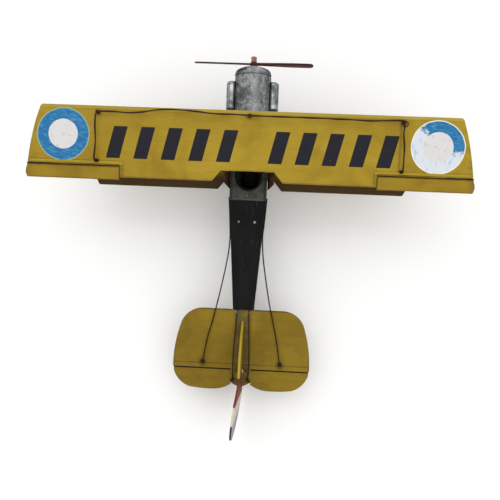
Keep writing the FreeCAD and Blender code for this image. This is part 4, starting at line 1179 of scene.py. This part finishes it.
def cove(inner, outer, hinge_y, hinge_z, nose):
    """The wing's or tail's hollow edge, wrapped round the front of a rolled nose with a small gap."""
    solids = []
    ring_in = arc((hinge_y, hinge_z), nose + 0.12, 105, 255, 10)
    ring_out = arc((hinge_y, hinge_z), nose + 0.3, 255, 105, 10)
    section = ring_in + ring_out
    for side in (-1, 1):
        ends = [[(x * side, y, z) for y, z in section] for x in (inner, outer)]
        solids.append(tube(ends))
    return joined(*solids)


def hinge_coves():
    """Lining behind the ailerons' and the elevators' noses, dark with painted shade."""
    wing_part = cove(AILERON_ROOT + 0.2, HALF_SPAN - 1.5, HINGE_PLACE, HINGE_HEIGHT, HINGE_NOSE)
    tail_part = cove(
        elevator_box.low.x, elevator_box.high.x - 0.6, TAIL_HINGE, tail.low.z + TAIL_NOSE, TAIL_NOSE
    )
    points, faces = joined(wing_part, tail_part)
    piece("hinge_coves", points, faces, shadow_coat)


BORDER_WIDTH = 1.25


def aileron_borders():
    """A raised bead on the wing round each aileron: along its hinge, then aft past its inner end."""
    def spot(x, y):
        return Vector((x, y, TOP_FLOOR + camber(y) + 0.12))

    hinge_run = BAY_FRONT - 1.7
    inner_run = AILERON_ROOT - 1.6
    corner = 3.0
    course = [spot(upper_outer(hinge_run) - 0.6, hinge_run)]
    course += [spot(HALF_SPAN - 14 - step * 8, hinge_run) for step in range(8)]
    for x, y in arc((inner_run + corner, hinge_run + corner), corner, 270, 180, 5):
        course.append(spot(x, y))
    course += [spot(inner_run, hinge_run + corner + step * 2.2) for step in range(1, 4)]
    course.append(spot(inner_run, CHORD - 0.4))
    bead = sweep(course, BORDER_WIDTH, sides=10, flat=0.3)
    points, faces = joined(bead, mirror_solid(bead))
    piece("aileron_borders", points, faces, bead_coat)


# Wires --------------------------------------------------------------------------------------------

WIRE = 0.62
WIRE_HEIGHT = post_box.high.z - WIRE


def top_wire():
    """One wire over the upper wing, from post to post, with a turn round each post and solder at its foot."""
    high = WIRE_HEIGHT - 0.3
    left = [
        (WIRE_OUT + 0.4, REAR_POST + 1.0, high), (WIRE_OUT + 1.6, REAR_POST - 2.5, high - 0.5),
        (WIRE_OUT + 0.9, 39.0, high), (WIRE_OUT + 0.6, 30.0, high), (WIRE_OUT + 1.4, 20.0, high),
        (WIRE_OUT + 1.3, FRONT_POST + 4.5, high), (WIRE_OUT + 0.4, FRONT_POST + 1.2, high),
        (WIRE_OUT - 2.6, FRONT_POST - 0.2, high), (124.0, 6.2, high), (115.0, 6.5, high - 0.2),
        (107.5, 6.8, high), (95.5, 5.6, high), (84.0, 3.5, high + 0.2), (72.0, 2.7, high + 0.2),
        (60.0, 2.9, high), (45.0, 3.8, high), (28.0, 4.9, high - 0.8), (12.0, 4.8, high - 1.2),
        (0.0, FRONT_POST - 1.2, high - 1.4),
    ]
    right = [
        (-10.0, 5.5, high - 1.2), (-45.0, 5.6, high - 0.3), (-80.0, 5.8, high), (-105.0, 6.4, high),
        (-120.0, 5.8, high), (-WIRE_OUT + 4.5, FRONT_POST - 1.3, high), (-WIRE_OUT + 0.6, FRONT_POST - 0.7, high),
        (-WIRE_OUT - 0.4, FRONT_POST + 2.6, high), (-WIRE_OUT + 0.3, 16.5, high), (-WIRE_OUT - 0.8, 27.0, high),
        (-WIRE_OUT - 0.7, 37.0, high), (-WIRE_OUT - 0.6, REAR_POST - 1.0, high - 0.2),
        (-WIRE_OUT + 0.4, REAR_POST + 1.3, high - 0.6),
    ]
    wire = hand_bent(left + right, lambda share: 0.72 + 0.12 * math.sin(share * 90), wobble=0.2, step=2.2)
    points, faces = wire
    piece("wing_top_cable", points, faces, wire_finish, stands_for=["wing_top_wire"])


def top_posts():
    """Wire posts: turned pegs in a solder fillet, each with its eye of wound wire."""
    solids = []
    places = [(side * WIRE_OUT, y, WIRE_HEIGHT - 0.4) for side in (-1, 1) for y in (FRONT_POST, REAR_POST)]
    places.append((0.0, FRONT_POST - 1.5, WIRE_HEIGHT - 1.8))
    for index, (x, y, top) in enumerate(places):
        foot = TOP_FLOOR + camber(y) - 0.3
        profile = [
            (0, 2.0), (0.35, 1.7), (0.9, 1.15), (1.6, 0.85), (top - foot - 0.6, 0.72), (top - foot, 0.5),
        ]
        solids.append(lathe(profile, (x, y, foot), (0, 0, 1), 14))
        solids.append(coil((x, y, top - 0.9), (0, 0.1, 1), 1.25, 0.42, turns=1.6, rise=1.5))
        solids.append(blob((x, y, foot + 0.3), 1.7, 0.4, index * 3.7))
    loop = Vector((-WIRE_OUT - 1.6, FRONT_POST + 1.0, TOP_FLOOR + camber(FRONT_POST) + 1.0))
    solids.append(coil(loop, (0, 0, 1), 2.5, 0.35, turns=0.8, rise=0.6))
    points, faces = joined(*solids)
    piece("wing_wire_pegs", points, faces, wire_finish, stands_for=["wing_posts"])


HULL_HALF = 17.6
STERN_HALF = 6.5
DECK_END = 79.0
TAIL_FRONT = tail.low.y
TAPER = (HULL_HALF - STERN_HALF) / (236.0 - DECK_END)
POST_OUT = tail_post_box.high.x - 0.9
POST_PLACE = tail_post_box.middle.y
TAIL_TOP = tail_post_box.low.z


def tail_cables():
    """Two wires to each side of the tail: out of the fuselage side to a post, and to the rudder's horn."""
    solids = []
    for side in (-1, 1):
        def hull(y):
            return HULL_HALF - (y - DECK_END) * TAPER + 0.55

        course = [
            (hull(76), 76, 26.6), (hull(90), 90, 26.8), (hull(104), 104, 27.0), (hull(114) + 0.1, 114, 27.2),
            (16.8, 131, 28.2), (20.2, 152, 30.2), (24.2, 174, 32.0), (28.6, 193, 32.8), (33.4, 213, 33.4),
            (POST_OUT - 0.6, POST_PLACE - 2.6, TAIL_TOP + 2.9), (POST_OUT + 0.3, POST_PLACE, TAIL_TOP + 2.6),
        ]
        solids.append(hand_bent([(x * side, y, z) for x, y, z in course], WIRE, wobble=0.2))
    points, faces = joined(*solids)
    piece("tail_stay_cables", points, faces, wire_finish, stands_for=["tail_wires"])
    pegs = []
    for side in (-1, 1):
        foot = (side * POST_OUT, POST_PLACE, TAIL_TOP - 0.2)
        pegs.append(lathe([(0, 2.0), (0.3, 1.8), (0.8, 1.1), (1.5, 0.85), (3.4, 0.75), (3.8, 0.5)], foot, (0, 0, 1), 12))
        pegs.append(coil((foot[0], foot[1], foot[2] + 2.6), (0, 0, 1), 1.15, 0.4, turns=1.5, rise=1.2))
        pegs.append(blob((foot[0], foot[1], foot[2] + 0.3), 1.8, 0.4, side * 2.0))
    points, faces = joined(*pegs)
    piece("tail_cable_pegs", points, faces, wire_finish, stands_for=["tail_wire_posts"])


def reshaped(name, finish, width=0.3, body="airframe", segments=2, angle=30, dents=0.0):
    """A copy of a CAD node's mesh with softened edges, standing for that node."""
    mesh = frame["nodes"][name].data.copy()
    mesh.transform(DATUM.inverted())
    shape = bmesh.new()
    shape.from_mesh(mesh)
    bmesh.ops.remove_doubles(shape, verts=shape.verts, dist=0.01)
    bmesh.ops.dissolve_limit(shape, angle_limit=math.radians(2), verts=shape.verts, edges=shape.edges)
    if dents:
        for vertex in shape.verts:
            vertex.co += noise.noise_vector(vertex.co * 0.09) * dents
    shape.to_mesh(mesh)
    shape.free()
    made = adopt(f"{name}_finished", mesh, finish, body, [name])
    return soften(made, width, segments, angle)


# Tail ---------------------------------------------------------------------------------------------

RUDDER_REACH = rudder_box.high.y - TAIL_HINGE
RUDDER_LEAN = 5.2


def sliced(name, place, keep_front):
    """A copy of a CAD node's mesh in the datum, cut square at a place along Y and closed."""
    mesh = frame["nodes"][name].data.copy()
    mesh.transform(DATUM.inverted())
    shape = bmesh.new()
    shape.from_mesh(mesh)
    bmesh.ops.remove_doubles(shape, verts=shape.verts, dist=0.01)
    parted = bmesh.ops.bisect_plane(
        shape, geom=shape.verts[:] + shape.edges[:] + shape.faces[:], plane_co=(0, place, 0),
        plane_no=(0, 1, 0), clear_outer=keep_front, clear_inner=not keep_front,
    )
    rim = [item for item in parted["geom_cut"] if isinstance(item, bmesh.types.BMEdge)]
    bmesh.ops.holes_fill(shape, edges=rim)
    bmesh.ops.dissolve_limit(shape, angle_limit=math.radians(2), verts=shape.verts, edges=shape.edges)
    return shape, mesh


def tail_surfaces():
    """Tailplane and elevators with softened edges; each elevator has a full-width rolled nose."""
    shape, mesh = sliced("stabilizer", TAIL_EDGE, True)
    shape.to_mesh(mesh)
    shape.free()
    soften(adopt("stabilizer_sheet", mesh, tail_coat, stands_for=["stabilizer"]), 0.55)
    seam = TAIL_HINGE + TAIL_NOSE + 0.8
    centre = (TAIL_HINGE, tail.low.z + TAIL_NOSE)
    depth = elevator_box.high.y - TAIL_HINGE + 2
    shrink = (TAIL_NOSE - 0.5) * (seam - TAIL_HINGE) / depth
    section = arc(centre, TAIL_NOSE, 270, 90, 10)
    section += [(seam + 0.02, centre[1] + TAIL_NOSE - shrink), (seam + 0.02, centre[1] - TAIL_NOSE + shrink)]
    for side, word in ((1, "left"), (-1, "right")):
        body = f"{word}_elevator"
        shape, mesh = sliced(body, seam, False)
        cut_ends = [vertex.co.x * side for vertex in shape.verts if abs(vertex.co.y - seam) < 0.01]
        inner, outer = min(cut_ends), max(cut_ends)
        for x, beyond in ((inner, outer),):
            front = []
            for share in (x, beyond):
                front.append([shape.verts.new((share * side, y, z)) for y, z in section])
            count = len(section)
            for index in range(count):
                after = (index + 1) % count
                shape.faces.new((front[0][index], front[0][after], front[1][after], front[1][index]))
            shape.faces.new(front[0])
            shape.faces.new(front[1])
        shape.to_mesh(mesh)
        shape.free()
        soften(adopt(f"{word}_elevator_sheet", mesh, tail_coat, body, [body]), 0.4)


def tail_gussets():
    """Triangular webs beside the stern post that close the gap between the elevators."""
    solids = []
    root = elevator_box.low.x - 0.12
    for side in (-1, 1):
        outline = [
            (1.4, TAIL_EDGE - 1.0), (root, TAIL_EDGE - 1.0), (root, TAIL_HINGE + 12.0),
            (root - 1.2, TAIL_HINGE + 12.6), (2.4, TAIL_HINGE + 1.0),
        ]
        low = [(x * side, y, tail.low.z + 0.3) for x, y in outline]
        high = [(x * side, y, tail.high.z - 0.3) for x, y in outline]
        solids.append(tube([low, high]))
    points, faces = joined(*solids)
    piece("tail_gussets", points, faces, tail_coat, smooth=False)


def rudder_sheet():
    """The rudder's sheet, bent a little to port behind its rolled edge, where it has been knocked."""
    mesh = frame["nodes"]["rudder"].data.copy()
    mesh.transform(DATUM.inverted())
    shape = bmesh.new()
    shape.from_mesh(mesh)
    bmesh.ops.remove_doubles(shape, verts=shape.verts, dist=0.01)
    for place in range(1, 16):
        cut = Vector((0, TAIL_HINGE + RUDDER_REACH * place / 16, 0))
        bmesh.ops.bisect_plane(
            shape, geom=shape.verts[:] + shape.edges[:] + shape.faces[:], plane_co=cut, plane_no=Vector((0, 1, 0))
        )
    bmesh.ops.triangulate(shape, faces=[face for face in shape.faces if len(face.verts) > 4])
    for vertex in shape.verts:
        share = max(0.0, (vertex.co.y - TAIL_HINGE - 3.0) / (RUDDER_REACH - 3.0))
        tall = (vertex.co.z - rudder_box.low.z) / (rudder_box.high.z - rudder_box.low.z)
        vertex.co.x += RUDDER_LEAN * share ** 1.4 + 3.6 * (tall - 0.5) * min(1.0, share * 3)
    shape.to_mesh(mesh)
    shape.free()
    made = adopt("rudder_sheet", mesh, rudder_coat, "rudder", ["rudder"])
    soften(made, 0.25, 2, 40)


def horn_plates():
    """Two triangular gussets on the rudder, each with an eye for its cable."""
    height = Extent("rudder_horn").middle.z
    solids = []
    for side in (-1, 1):
        outline = [
            (1.0, TAIL_HINGE + 1.6), (1.7, TAIL_HINGE + 0.3), (6.0, TAIL_HINGE), (9.0, TAIL_HINGE + 4.6),
            (9.2, TAIL_HINGE + 9.0), (8.2, TAIL_HINGE + 11.0), (1.0, TAIL_HINGE + 14.5),
        ]
        low = [(x * side, y, height - 0.45) for x, y in outline]
        high = [(x * side, y, height + 0.45) for x, y in outline]
        solids.append(tube([low, high]))
    points, faces = joined(*solids)
    made = piece("rudder_horn_plates", points, faces, tail_coat, "rudder", ["rudder_horn"])
    soften(made, 0.25)
    eyes = []
    for side in (-1, 1):
        eyes.append(coil((side * 7.9, TAIL_HINGE + 7.9, height + 1.0), (0, 0, 1), 1.35, 0.45, turns=1.7, rise=1.3))
        eyes.append(blob((side * 6.2, TAIL_HINGE + 6.6, height + 0.5), 1.0, 0.45, side * 5.0))
    points, faces = joined(*eyes)
    piece("rudder_cable_eyes", points, faces, wire_finish, "rudder")


def control_cables():
    """Rudder cables from their guides at the tail's front to the horn; each bends where the rudder turns."""
    height = Extent("rudder_horn").middle.z + 0.9
    start = Extent("rudder_cables").low
    solids = []
    for side in (-1, 1):
        course = [
            (5.6 * side, start.y + 0.6, TAIL_TOP + 1.4), (6.2 * side, start.y + 16, TAIL_TOP + 3.2),
            (7.4 * side, TAIL_HINGE - 22, height - 1.6), (7.7 * side, TAIL_HINGE - 5, height - 0.2),
            (7.6 * side, TAIL_HINGE + 2.5, height), (7.0 * side, TAIL_HINGE + 7.2, height),
        ]
        solids.append(hand_bent(course, WIRE * 0.9, wobble=0.12))
    points, faces = joined(*solids)
    made = piece(
        "rudder_cable_pair", points, faces, wire_finish, None, ["rudder_cables"]
    )
    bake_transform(made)


# Power and propeller ------------------------------------------------------------------------------

PROP_RADIUS = 57.3
BLADE_CHORD = 8.4
BLADE_PITCH = math.radians(10)


def propeller_blades():
    """A carved two-blade propeller: thick round root, thin wide tip, bevelled edges."""
    solids = []
    count = 30
    for side in (1, -1):
        rings = []
        turn = Matrix.Rotation(-BLADE_PITCH * side, 3, "X")
        for row in range(count + 1):
            share = row / count
            reach = PROP_RADIUS * (0.02 + 0.98 * share)
            wide = 2.6 + (BLADE_CHORD / 2 - 2.6) * min(1, max(0, (share - 0.12) / 0.5))
            if share > 0.93:
                wide *= math.sqrt(max(0.0, 1 - ((share - 0.93) / 0.07) ** 2)) * 0.55 + 0.45
            thick = 1.1 - 0.25 * min(1, share / 0.6)
            ring = []
            for corner in range(16):
                angle = math.tau * corner / 16
                across = math.cos(angle)
                depth = math.copysign(abs(math.sin(angle)) ** 0.6, math.sin(angle))
                spot = Vector((0, depth * thick * (1 if depth > 0 else 0.8), across * wide))
                ring.append(Vector((reach * side, PROP_PLACE, THRUST_HEIGHT)) + turn @ spot)
            rings.append(ring)
        solids.append(tube(rings))
    hub = [(-1.7, 1.9), (-1.7, 2.9), (-1.3, 3.4), (1.2, 3.4), (1.7, 3.0), (1.7, 1.9)]
    solids.append(lathe(hub, (0, PROP_PLACE, THRUST_HEIGHT), (0, 1, 0), 32))
    points, faces = joined(*solids)
    piece("propeller_blades", points, faces, prop_coat, "propeller", ["propeller"])


def propeller_nut():
    """The painted boss ahead of the blades, with a turned shoulder and a rounded nose."""
    box = Extent("propeller_boss")
    length = box.high.y - box.low.y
    radius = (box.high.x - box.low.x) / 2
    profile = [(0, 0.2)]
    profile += [(0.7 * (1 - math.cos(math.radians(a))), radius - 0.9 + 0.9 * math.sin(math.radians(a))) for a in (10, 30, 50, 70, 90)]
    profile += [(length * 0.45, radius), (length * 0.5, radius - 0.25), (length * 0.58, radius - 0.25), (length * 0.63, radius)]
    profile += [(length - 0.3, radius), (length, radius - 0.3)]
    points, faces = lathe(profile, (0, box.low.y, THRUST_HEIGHT), (0, 1, 0), 28)
    piece("propeller_boss_cap", points, faces, boss_coat, "propeller", ["propeller_boss"])


COWL_FRONT = cowl_box.low.y
COWL_REAR = cowl_box.high.y
NOSE_FRONT = Extent("nose_plate").low.y


def cowl_ring(y, inset, sides_down=True):
    """The cowl's section at y: flat sides and belly under a high arched top, drawn in by inset."""
    wide = HULL_HALF - inset
    top = cowl_box.high.z - inset
    shoulder = cowl_box.high.z - 10
    floor = cowl_box.low.z + inset
    rise = top - shoulder
    radius = (wide * wide + rise * rise) / (rise * 2)
    swing = math.degrees(math.asin(min(1, wide / radius)))
    ring = [Vector((x, y, z)) for x, z in arc((0, top - radius), radius, 90 - swing, 90 + swing, 20)]
    corner = 1.6
    ring += [Vector((-wide, y, shoulder - 4)), Vector((-wide, y, floor + corner + 4))]
    ring += [Vector((x, y, z)) for x, z in arc((-wide + corner, floor + corner), corner, 180, 270, 4)]
    ring += [Vector((0, y, floor))]
    ring += [Vector((x, y, z)) for x, z in arc((wide - corner, floor + corner), corner, 270, 360, 4)]
    ring += [Vector((wide, y, floor + corner + 4)), Vector((wide, y, shoulder - 4))]
    return ring


def engine_shell():
    """Hammered cowl sheet with a raised band at each end, its open rear lying on the fuselage."""
    rings = []
    count = 26
    for row in range(count + 1):
        y = COWL_FRONT + (COWL_REAR - COWL_FRONT) * row / count
        ring = cowl_ring(y, 0.12)
        for spot in ring:
            dent = noise.noise(spot * 0.11) * 0.35 + noise.noise(spot * 0.3) * 0.12 - 0.25
            away = Vector((spot.x, 0, spot.z - 18)).normalized()
            spot += away * dent
        rings.append(ring)
    points, faces = tube(rings)
    made = piece("engine_cowl_shell", points, faces, cowl_finish, stands_for=["engine_cowl"])
    soften(made, 0.5, 3, 40)
    bands = []
    for y in (COWL_FRONT + 1.1, COWL_REAR - 1.4):
        course = [spot for spot in cowl_ring(y, 0.25)[:21]]
        bands.append(sweep(course, 0.75, 8, 0.5, upward=Vector((0, 1, 0))))
    points, faces = joined(*bands)
    piece("engine_cowl_bands", points, faces, bank_finish)


def nose_dome():
    """The nose cap: sheet pressed into a full dome that falls back towards its sides."""
    depth = COWL_FRONT - NOSE_FRONT
    middle = THRUST_HEIGHT
    rings = []
    steps = 14
    for row in range(steps + 1):
        angle = math.radians(90 * row / steps)
        ring = cowl_ring(COWL_FRONT, 0.35 + 4.2 * (1 - math.cos(angle)))
        for spot in ring:
            fall = 2.6 * (spot.x / HULL_HALF) ** 2
            spot.y = COWL_FRONT + 0.4 - (depth + 0.3 - fall) * math.sin(angle) ** 0.85
        rings.append(ring)
    edge = rings[-1]
    for share in (0.85, 0.7, 0.5, 0.3, 0.17):
        ring = []
        for spot in edge:
            x = spot.x * share
            y = COWL_FRONT - depth + 0.1 + 2.6 * (x / HULL_HALF) ** 2
            ring.append(Vector((x, y, middle + (spot.z - middle) * share)))
        rings.append(ring)
    points, faces = tube(rings)
    points = [Vector(spot) + noise.noise_vector(Vector(spot) * 0.12) * 0.15 for spot in points]
    points = [Vector((spot.x, max(spot.y, NOSE_FRONT), spot.z)) for spot in points]
    made = piece("nose_cap", points, faces, cowl_finish, stands_for=["nose_plate"])
    made.data.set_sharp_from_angle(angle=math.radians(50))


BANK_RADIUS = (bank_box.high.z - bank_box.low.z) / 2
BANK_HEIGHT = bank_box.middle.z
BANK_AXIS = bank_box.high.x - BANK_RADIUS


def bank_casings():
    """A rounded casing on each side of the cowl, with a domed front and a necked rear end."""
    length = bank_box.high.y - bank_box.low.y
    profile = [(0.0, 1.0)]
    profile += arc((2.6, BANK_RADIUS - 2.6), 2.6, 180, 90, 6)
    profile += [(length * share, BANK_RADIUS + 0.05 * math.sin(share * 9)) for share in (0.2, 0.35, 0.5, 0.65, 0.8)]
    profile += [(length - 1.6, BANK_RADIUS), (length - 1.3, BANK_RADIUS - 0.5), (length - 0.4, BANK_RADIUS - 0.5)]
    profile += [(length, BANK_RADIUS - 0.8)]
    for side, word in ((1, "left"), (-1, "right")):
        points, faces = lathe(profile, (BANK_AXIS * side, bank_box.low.y, BANK_HEIGHT), (0, 1, 0), 40)
        mesh = bpy.data.meshes.new(f"{word}_bank_casing")
        mesh.from_pydata([tuple(spot) for spot in points], [], faces)
        shape = bmesh.new()
        shape.from_mesh(mesh)
        parted = bmesh.ops.bisect_plane(
            shape, geom=shape.verts[:] + shape.edges[:] + shape.faces[:], plane_co=((HULL_HALF - 0.3) * side, 0, 0),
            plane_no=(side, 0, 0), clear_inner=True,
        )
        rim = [item for item in parted["geom_cut"] if isinstance(item, bmesh.types.BMEdge)]
        bmesh.ops.holes_fill(shape, edges=rim)
        shape.to_mesh(mesh)
        shape.free()
        made = adopt(
            f"{word}_bank_casing", mesh, bank_finish, stands_for=[f"{word}_cylinder_bank"]
        )
        made.data.set_sharp_from_angle(angle=math.radians(50))


# Cockpits and fuselage ----------------------------------------------------------------------------

DECK_LOW = Extent("cockpit_deck").high.z - 3.0
CROWN = 3.0
COCKPIT_HALF = 13.2


def crown_height(x, half=HULL_HALF):
    radius = (half * half + CROWN * CROWN) / (CROWN * 2)
    return DECK_LOW + CROWN - radius + math.sqrt(max(0, radius * radius - x * x))


def cockpit_outline(place, reach, count=40):
    """A round-ended opening: two half circles a little apart, seen from above."""
    front, rear = place - 2.5, place + 1.0
    half = count // 2
    ahead = [(x, front + y) for x, y in arc((0, 0), reach, 180, 360, half)]
    behind = [(x, rear + y) for x, y in arc((0, 0), reach, 0, 180, half)]
    return ahead + behind


def cockpit_rims():
    """A padded roll round each cockpit opening, over a bent sheet lip."""
    for name in ("front_cockpit_rim", "rear_cockpit_rim"):
        box = Extent(name)
        place = (box.low.y + box.high.y) / 2 + 0.75
        course = []
        for x, y in cockpit_outline(place, COCKPIT_HALF - 0.75, 56):
            course.append(Vector((x, y, crown_height(x) + 0.45)))
        roll = sweep(course[:-1], 0.95, 10, closed=True)
        lip = sweep([spot - Vector((spot.x * 0.06, 0, 1.6)) for spot in course[:-1]], 0.6, 8, 2.2, closed=True)
        points, faces = joined(roll, lip)
        piece(f"{name}_roll", points, faces, rim_coat, stands_for=[name])


def seats():
    """A padded cushion and a curved back rest."""
    for name in ("front_seat", "rear_seat"):
        box = Extent(name)
        wide = (box.high.x - box.low.x) / 2
        deep = box.high.y - box.low.y
        tall = box.high.z - box.low.z
        cushion = []
        rows, columns = 12, 24
        for row in range(rows + 1):
            tilt = math.pi * (row + 0.05) / (rows + 0.1)
            ring = []
            for column in range(columns):
                turn = math.tau * column / columns
                corner = (abs(math.cos(turn)) ** 4 + abs(math.sin(turn)) ** 4) ** -0.25
                x = (wide - 0.3) * math.sin(tilt) * corner * math.cos(turn)
                y = box.low.y + deep * 0.47 + deep * 0.45 * math.sin(tilt) * corner * math.sin(turn)
                z = box.low.z + tall * 0.16 + tall * 0.15 * math.cos(tilt)
                z += 0.25 * math.cos(x * 1.1) if row < rows / 2 else 0
                ring.append(Vector((x, y, z)))
            cushion.append(ring)
        back = []
        for row in range(rows + 1):
            share = row / rows
            z = box.low.z + tall * (0.12 + 0.86 * share)
            half = (wide - 0.3) * (1 - 0.28 * max(0, share - 0.55) / 0.45)
            round_off = math.sqrt(max(0.02, 1 - (2 * share - 1) ** 8))
            ring = []
            for column in range(columns):
                turn = math.tau * column / columns
                puff = 1 + 0.10 * math.cos(turn * 3)
                x = half * math.cos(turn)
                y = box.high.y - 1.5 + 1.15 * round_off * math.sin(turn) * puff + 1.0 * (x / wide) ** 2 * -1
                ring.append(Vector((x, y, z)))
            back.append(ring)
        points, faces = joined(tube(cushion), tube(back))
        made = piece(f"{name}_padding", points, faces, hide, stands_for=[name])
        smooth = made.modifiers.new("smooth", "SUBSURF")
        smooth.levels = smooth.render_levels = 1


RIVET_OUT = Extent("deck_rivets").high.x - 1.3
RIVET_PLACE = Extent("deck_rivets").high.y - 1.3
RIVET_TOP = DECK_LOW + 2.65


def deck_details():
    """Laps of the deck sheet and its rivet heads."""
    deck = Extent("cockpit_deck")
    solids = []
    for y in (deck.high.y - 0.8, deck.low.y + 1.0):
        course = [Vector((x, y, crown_height(x) + 0.05)) for x in range(-17, 18)]
        solids.append(sweep(course, 0.9, 8, 0.35, upward=Vector((0, 0, 1))))
    points, faces = joined(*solids)
    piece("deck_laps", points, faces, deck_coat)
    rivets = []
    for index, (spot, size) in enumerate(((Vector((-RIVET_OUT, RIVET_PLACE, 0)), 1.4), (Vector((RIVET_OUT, RIVET_PLACE, 0)), 1.1))):
        rivets.append(blob((spot.x, spot.y, RIVET_TOP - size * 0.62), size, 0.62, index * 4.0, 0.06, 10, 18))
    rivets.append(blob((0.5, deck.high.y - 4.4, deck.high.z - 0.1), 0.6, 0.6, 9.0, 0.06, 8, 14))
    points, faces = joined(*rivets)
    piece("deck_rivet_heads", points, faces, rivet_metal, stands_for=["deck_rivets"])


# Wheels -------------------------------------------------------------------------------------------


def wheels():
    """Tyres with a rounded tread and discs dished to a hub, with a rolled rim."""
    for side, word in ((1, "left"), (-1, "right")):
        tyre = Extent(f"{word}_tyre")
        disc = Extent(f"{word}_wheel_disc")
        centre = tyre.middle
        outer = (tyre.high.z - tyre.low.z) / 2
        half = (tyre.high.x - tyre.low.x) / 2
        rings = []
        for turn_step in range(56):
            turn = math.tau * turn_step / 56
            ring = []
            for corner in range(18):
                angle = math.tau * corner / 18
                across = math.cos(angle) * half
                out = outer - half + math.sin(angle) * half
                if out > outer - 0.25:
                    out = outer - 0.25 + 0.25 * abs(math.cos(across * 3.2))
                ring.append(Vector((
                    centre.x + across, centre.y + math.cos(turn) * out, centre.z + math.sin(turn) * out
                )))
            rings.append(ring)
        points, faces = tube(rings, closed=True)
        piece(
            f"{word}_tyre_ring", points, faces, rubber, f"{word}_wheel", [f"{word}_tyre"]
        )
        wide = (disc.high.x - disc.low.x) / 2
        reach = (disc.high.z - disc.low.z) / 2
        hub = 2.6
        bore = 1.62
        face = [
            (wide, bore), (wide, hub), (wide - 0.4, hub + 0.5), (wide * 0.62, hub + 1.3),
            (wide * 0.50, reach * 0.45), (wide * 0.36, reach * 0.75), (wide * 0.34, reach - 1.5),
            (wide * 0.5, reach - 1.0), (wide * 0.45, reach - 0.2), (wide * 0.2, reach),
        ]
        profile = face + [(-along, out) for along, out in reversed(face)]
        points, faces = lathe(profile, disc.middle, (1, 0, 0), 48)
        faces = faces[:-2]
        count = 48
        last = len(profile) - 1
        for index in range(count):
            beside = (index + 1) % count
            faces.append((last * count + index, last * count + beside, beside, index))
        made = piece(
            f"{word}_wheel_cover", points, faces, wheel_coat, f"{word}_wheel",
            [f"{word}_wheel_disc"],
        )
        made.data.set_sharp_from_angle(angle=math.radians(40))


upper_wing()
lower_wings()
ailerons()
aileron_borders()
top_wire()
top_posts()
tail_cables()
hinge_coves()
tail_surfaces()
tail_gussets()
reshaped("fin", fin_coat, 0.3)
rudder_sheet()
horn_plates()
control_cables()
propeller_blades()
propeller_nut()
engine_shell()
nose_dome()
bank_casings()
cockpit_rims()
seats()
deck_details()
wheels()
reshaped("interplane_struts", strut_coat, 0.5)
reshaped("cabane_struts", strut_coat, 0.2)
reshaped("left_undercarriage_legs", strut_coat, 0.3)
reshaped("right_undercarriage_legs", strut_coat, 0.3)
reshaped("left_exhaust_pipe", rusty, 0.15)
reshaped("right_exhaust_pipe", rusty, 0.15)
reshaped("fuselage_shell", hull_coat, 0.5)
reshaped("turtledeck", black_coat, 0.4)

# Stage --------------------------------------------------------------------------------------------


def stage():
    """Pale floor, two soft overhead lights and the camera almost straight above the wings."""
    size = 3.0
    mesh = bpy.data.meshes.new("floor")
    half = size / 2
    mesh.from_pydata([(-half, -half, 0), (half, -half, 0), (half, half, 0), (-half, half, 0)], [], [(0, 1, 2, 3)])
    floor = bpy.data.objects.new("floor", mesh)
    bpy.context.scene.collection.objects.link(floor)
    paint = Paint("floor_paint", roughness=0.9)
    paint.color(paint.mix(paint.cloud(160, detail=2), tint(250, 250, 249), tint(254, 254, 253)))
    mesh.materials.append(paint.material)

    world = bpy.data.worlds.new("studio")
    world.use_nodes = True
    world.node_tree.nodes["Background"].inputs[0].default_value = (1, 1, 1, 1)
    world.node_tree.nodes["Background"].inputs[1].default_value = 1.0
    bpy.context.scene.world = world

    middle = Vector(frame["bodies"]["airframe"].location)
    for name, spot, size, power in (
        ("key_light", Vector((0.35, -0.75, 1.5)), 1.3, 3.4),
        ("fill_light", Vector((-0.7, 0.6, 1.3)), 1.6, 1.8),
    ):
        light = bpy.data.lights.new(name, "AREA")
        light.size = size
        light.energy = power
        lamp = bpy.data.objects.new(name, light)
        lamp.location = spot
        lamp.rotation_euler = (middle - spot).to_track_quat("-Z", "Y").to_euler()
        bpy.context.scene.collection.objects.link(lamp)


CAMERA_SPOT = (-23.6, 104.1, 585.1)
CAMERA_TARGET = (-3.06, 127.5, 0.0)
CAMERA_ROLL = math.radians(-2.41)
FOCAL_SHARE = 576.4 / 500
"""The camera over the airframe datum, and its focal length as a share of the picture's width."""


def camera():
    """A camera above the tail side of the wings, nose up in its picture, turned slightly about its view."""
    data = bpy.data.cameras.new("camera")
    data.sensor_width = 36
    data.lens = data.sensor_width * FOCAL_SHARE
    eye = bpy.data.objects.new("camera", data)
    bpy.context.scene.collection.objects.link(eye)
    spot = row_point(*CAMERA_SPOT)
    forward = (row_point(*CAMERA_TARGET) - spot).normalized()
    nose = -AFT
    upward = (nose - forward * nose.dot(forward)).normalized()
    right = forward.cross(upward)
    turned = Matrix((right, upward, -forward)).transposed() @ Matrix.Rotation(-CAMERA_ROLL, 3, "Z")
    eye.matrix_world = Matrix.Translation(spot) @ turned.to_4x4()
    bpy.context.scene.camera = eye


stage()
camera()
bpy.context.scene.view_settings.view_transform = "Standard"
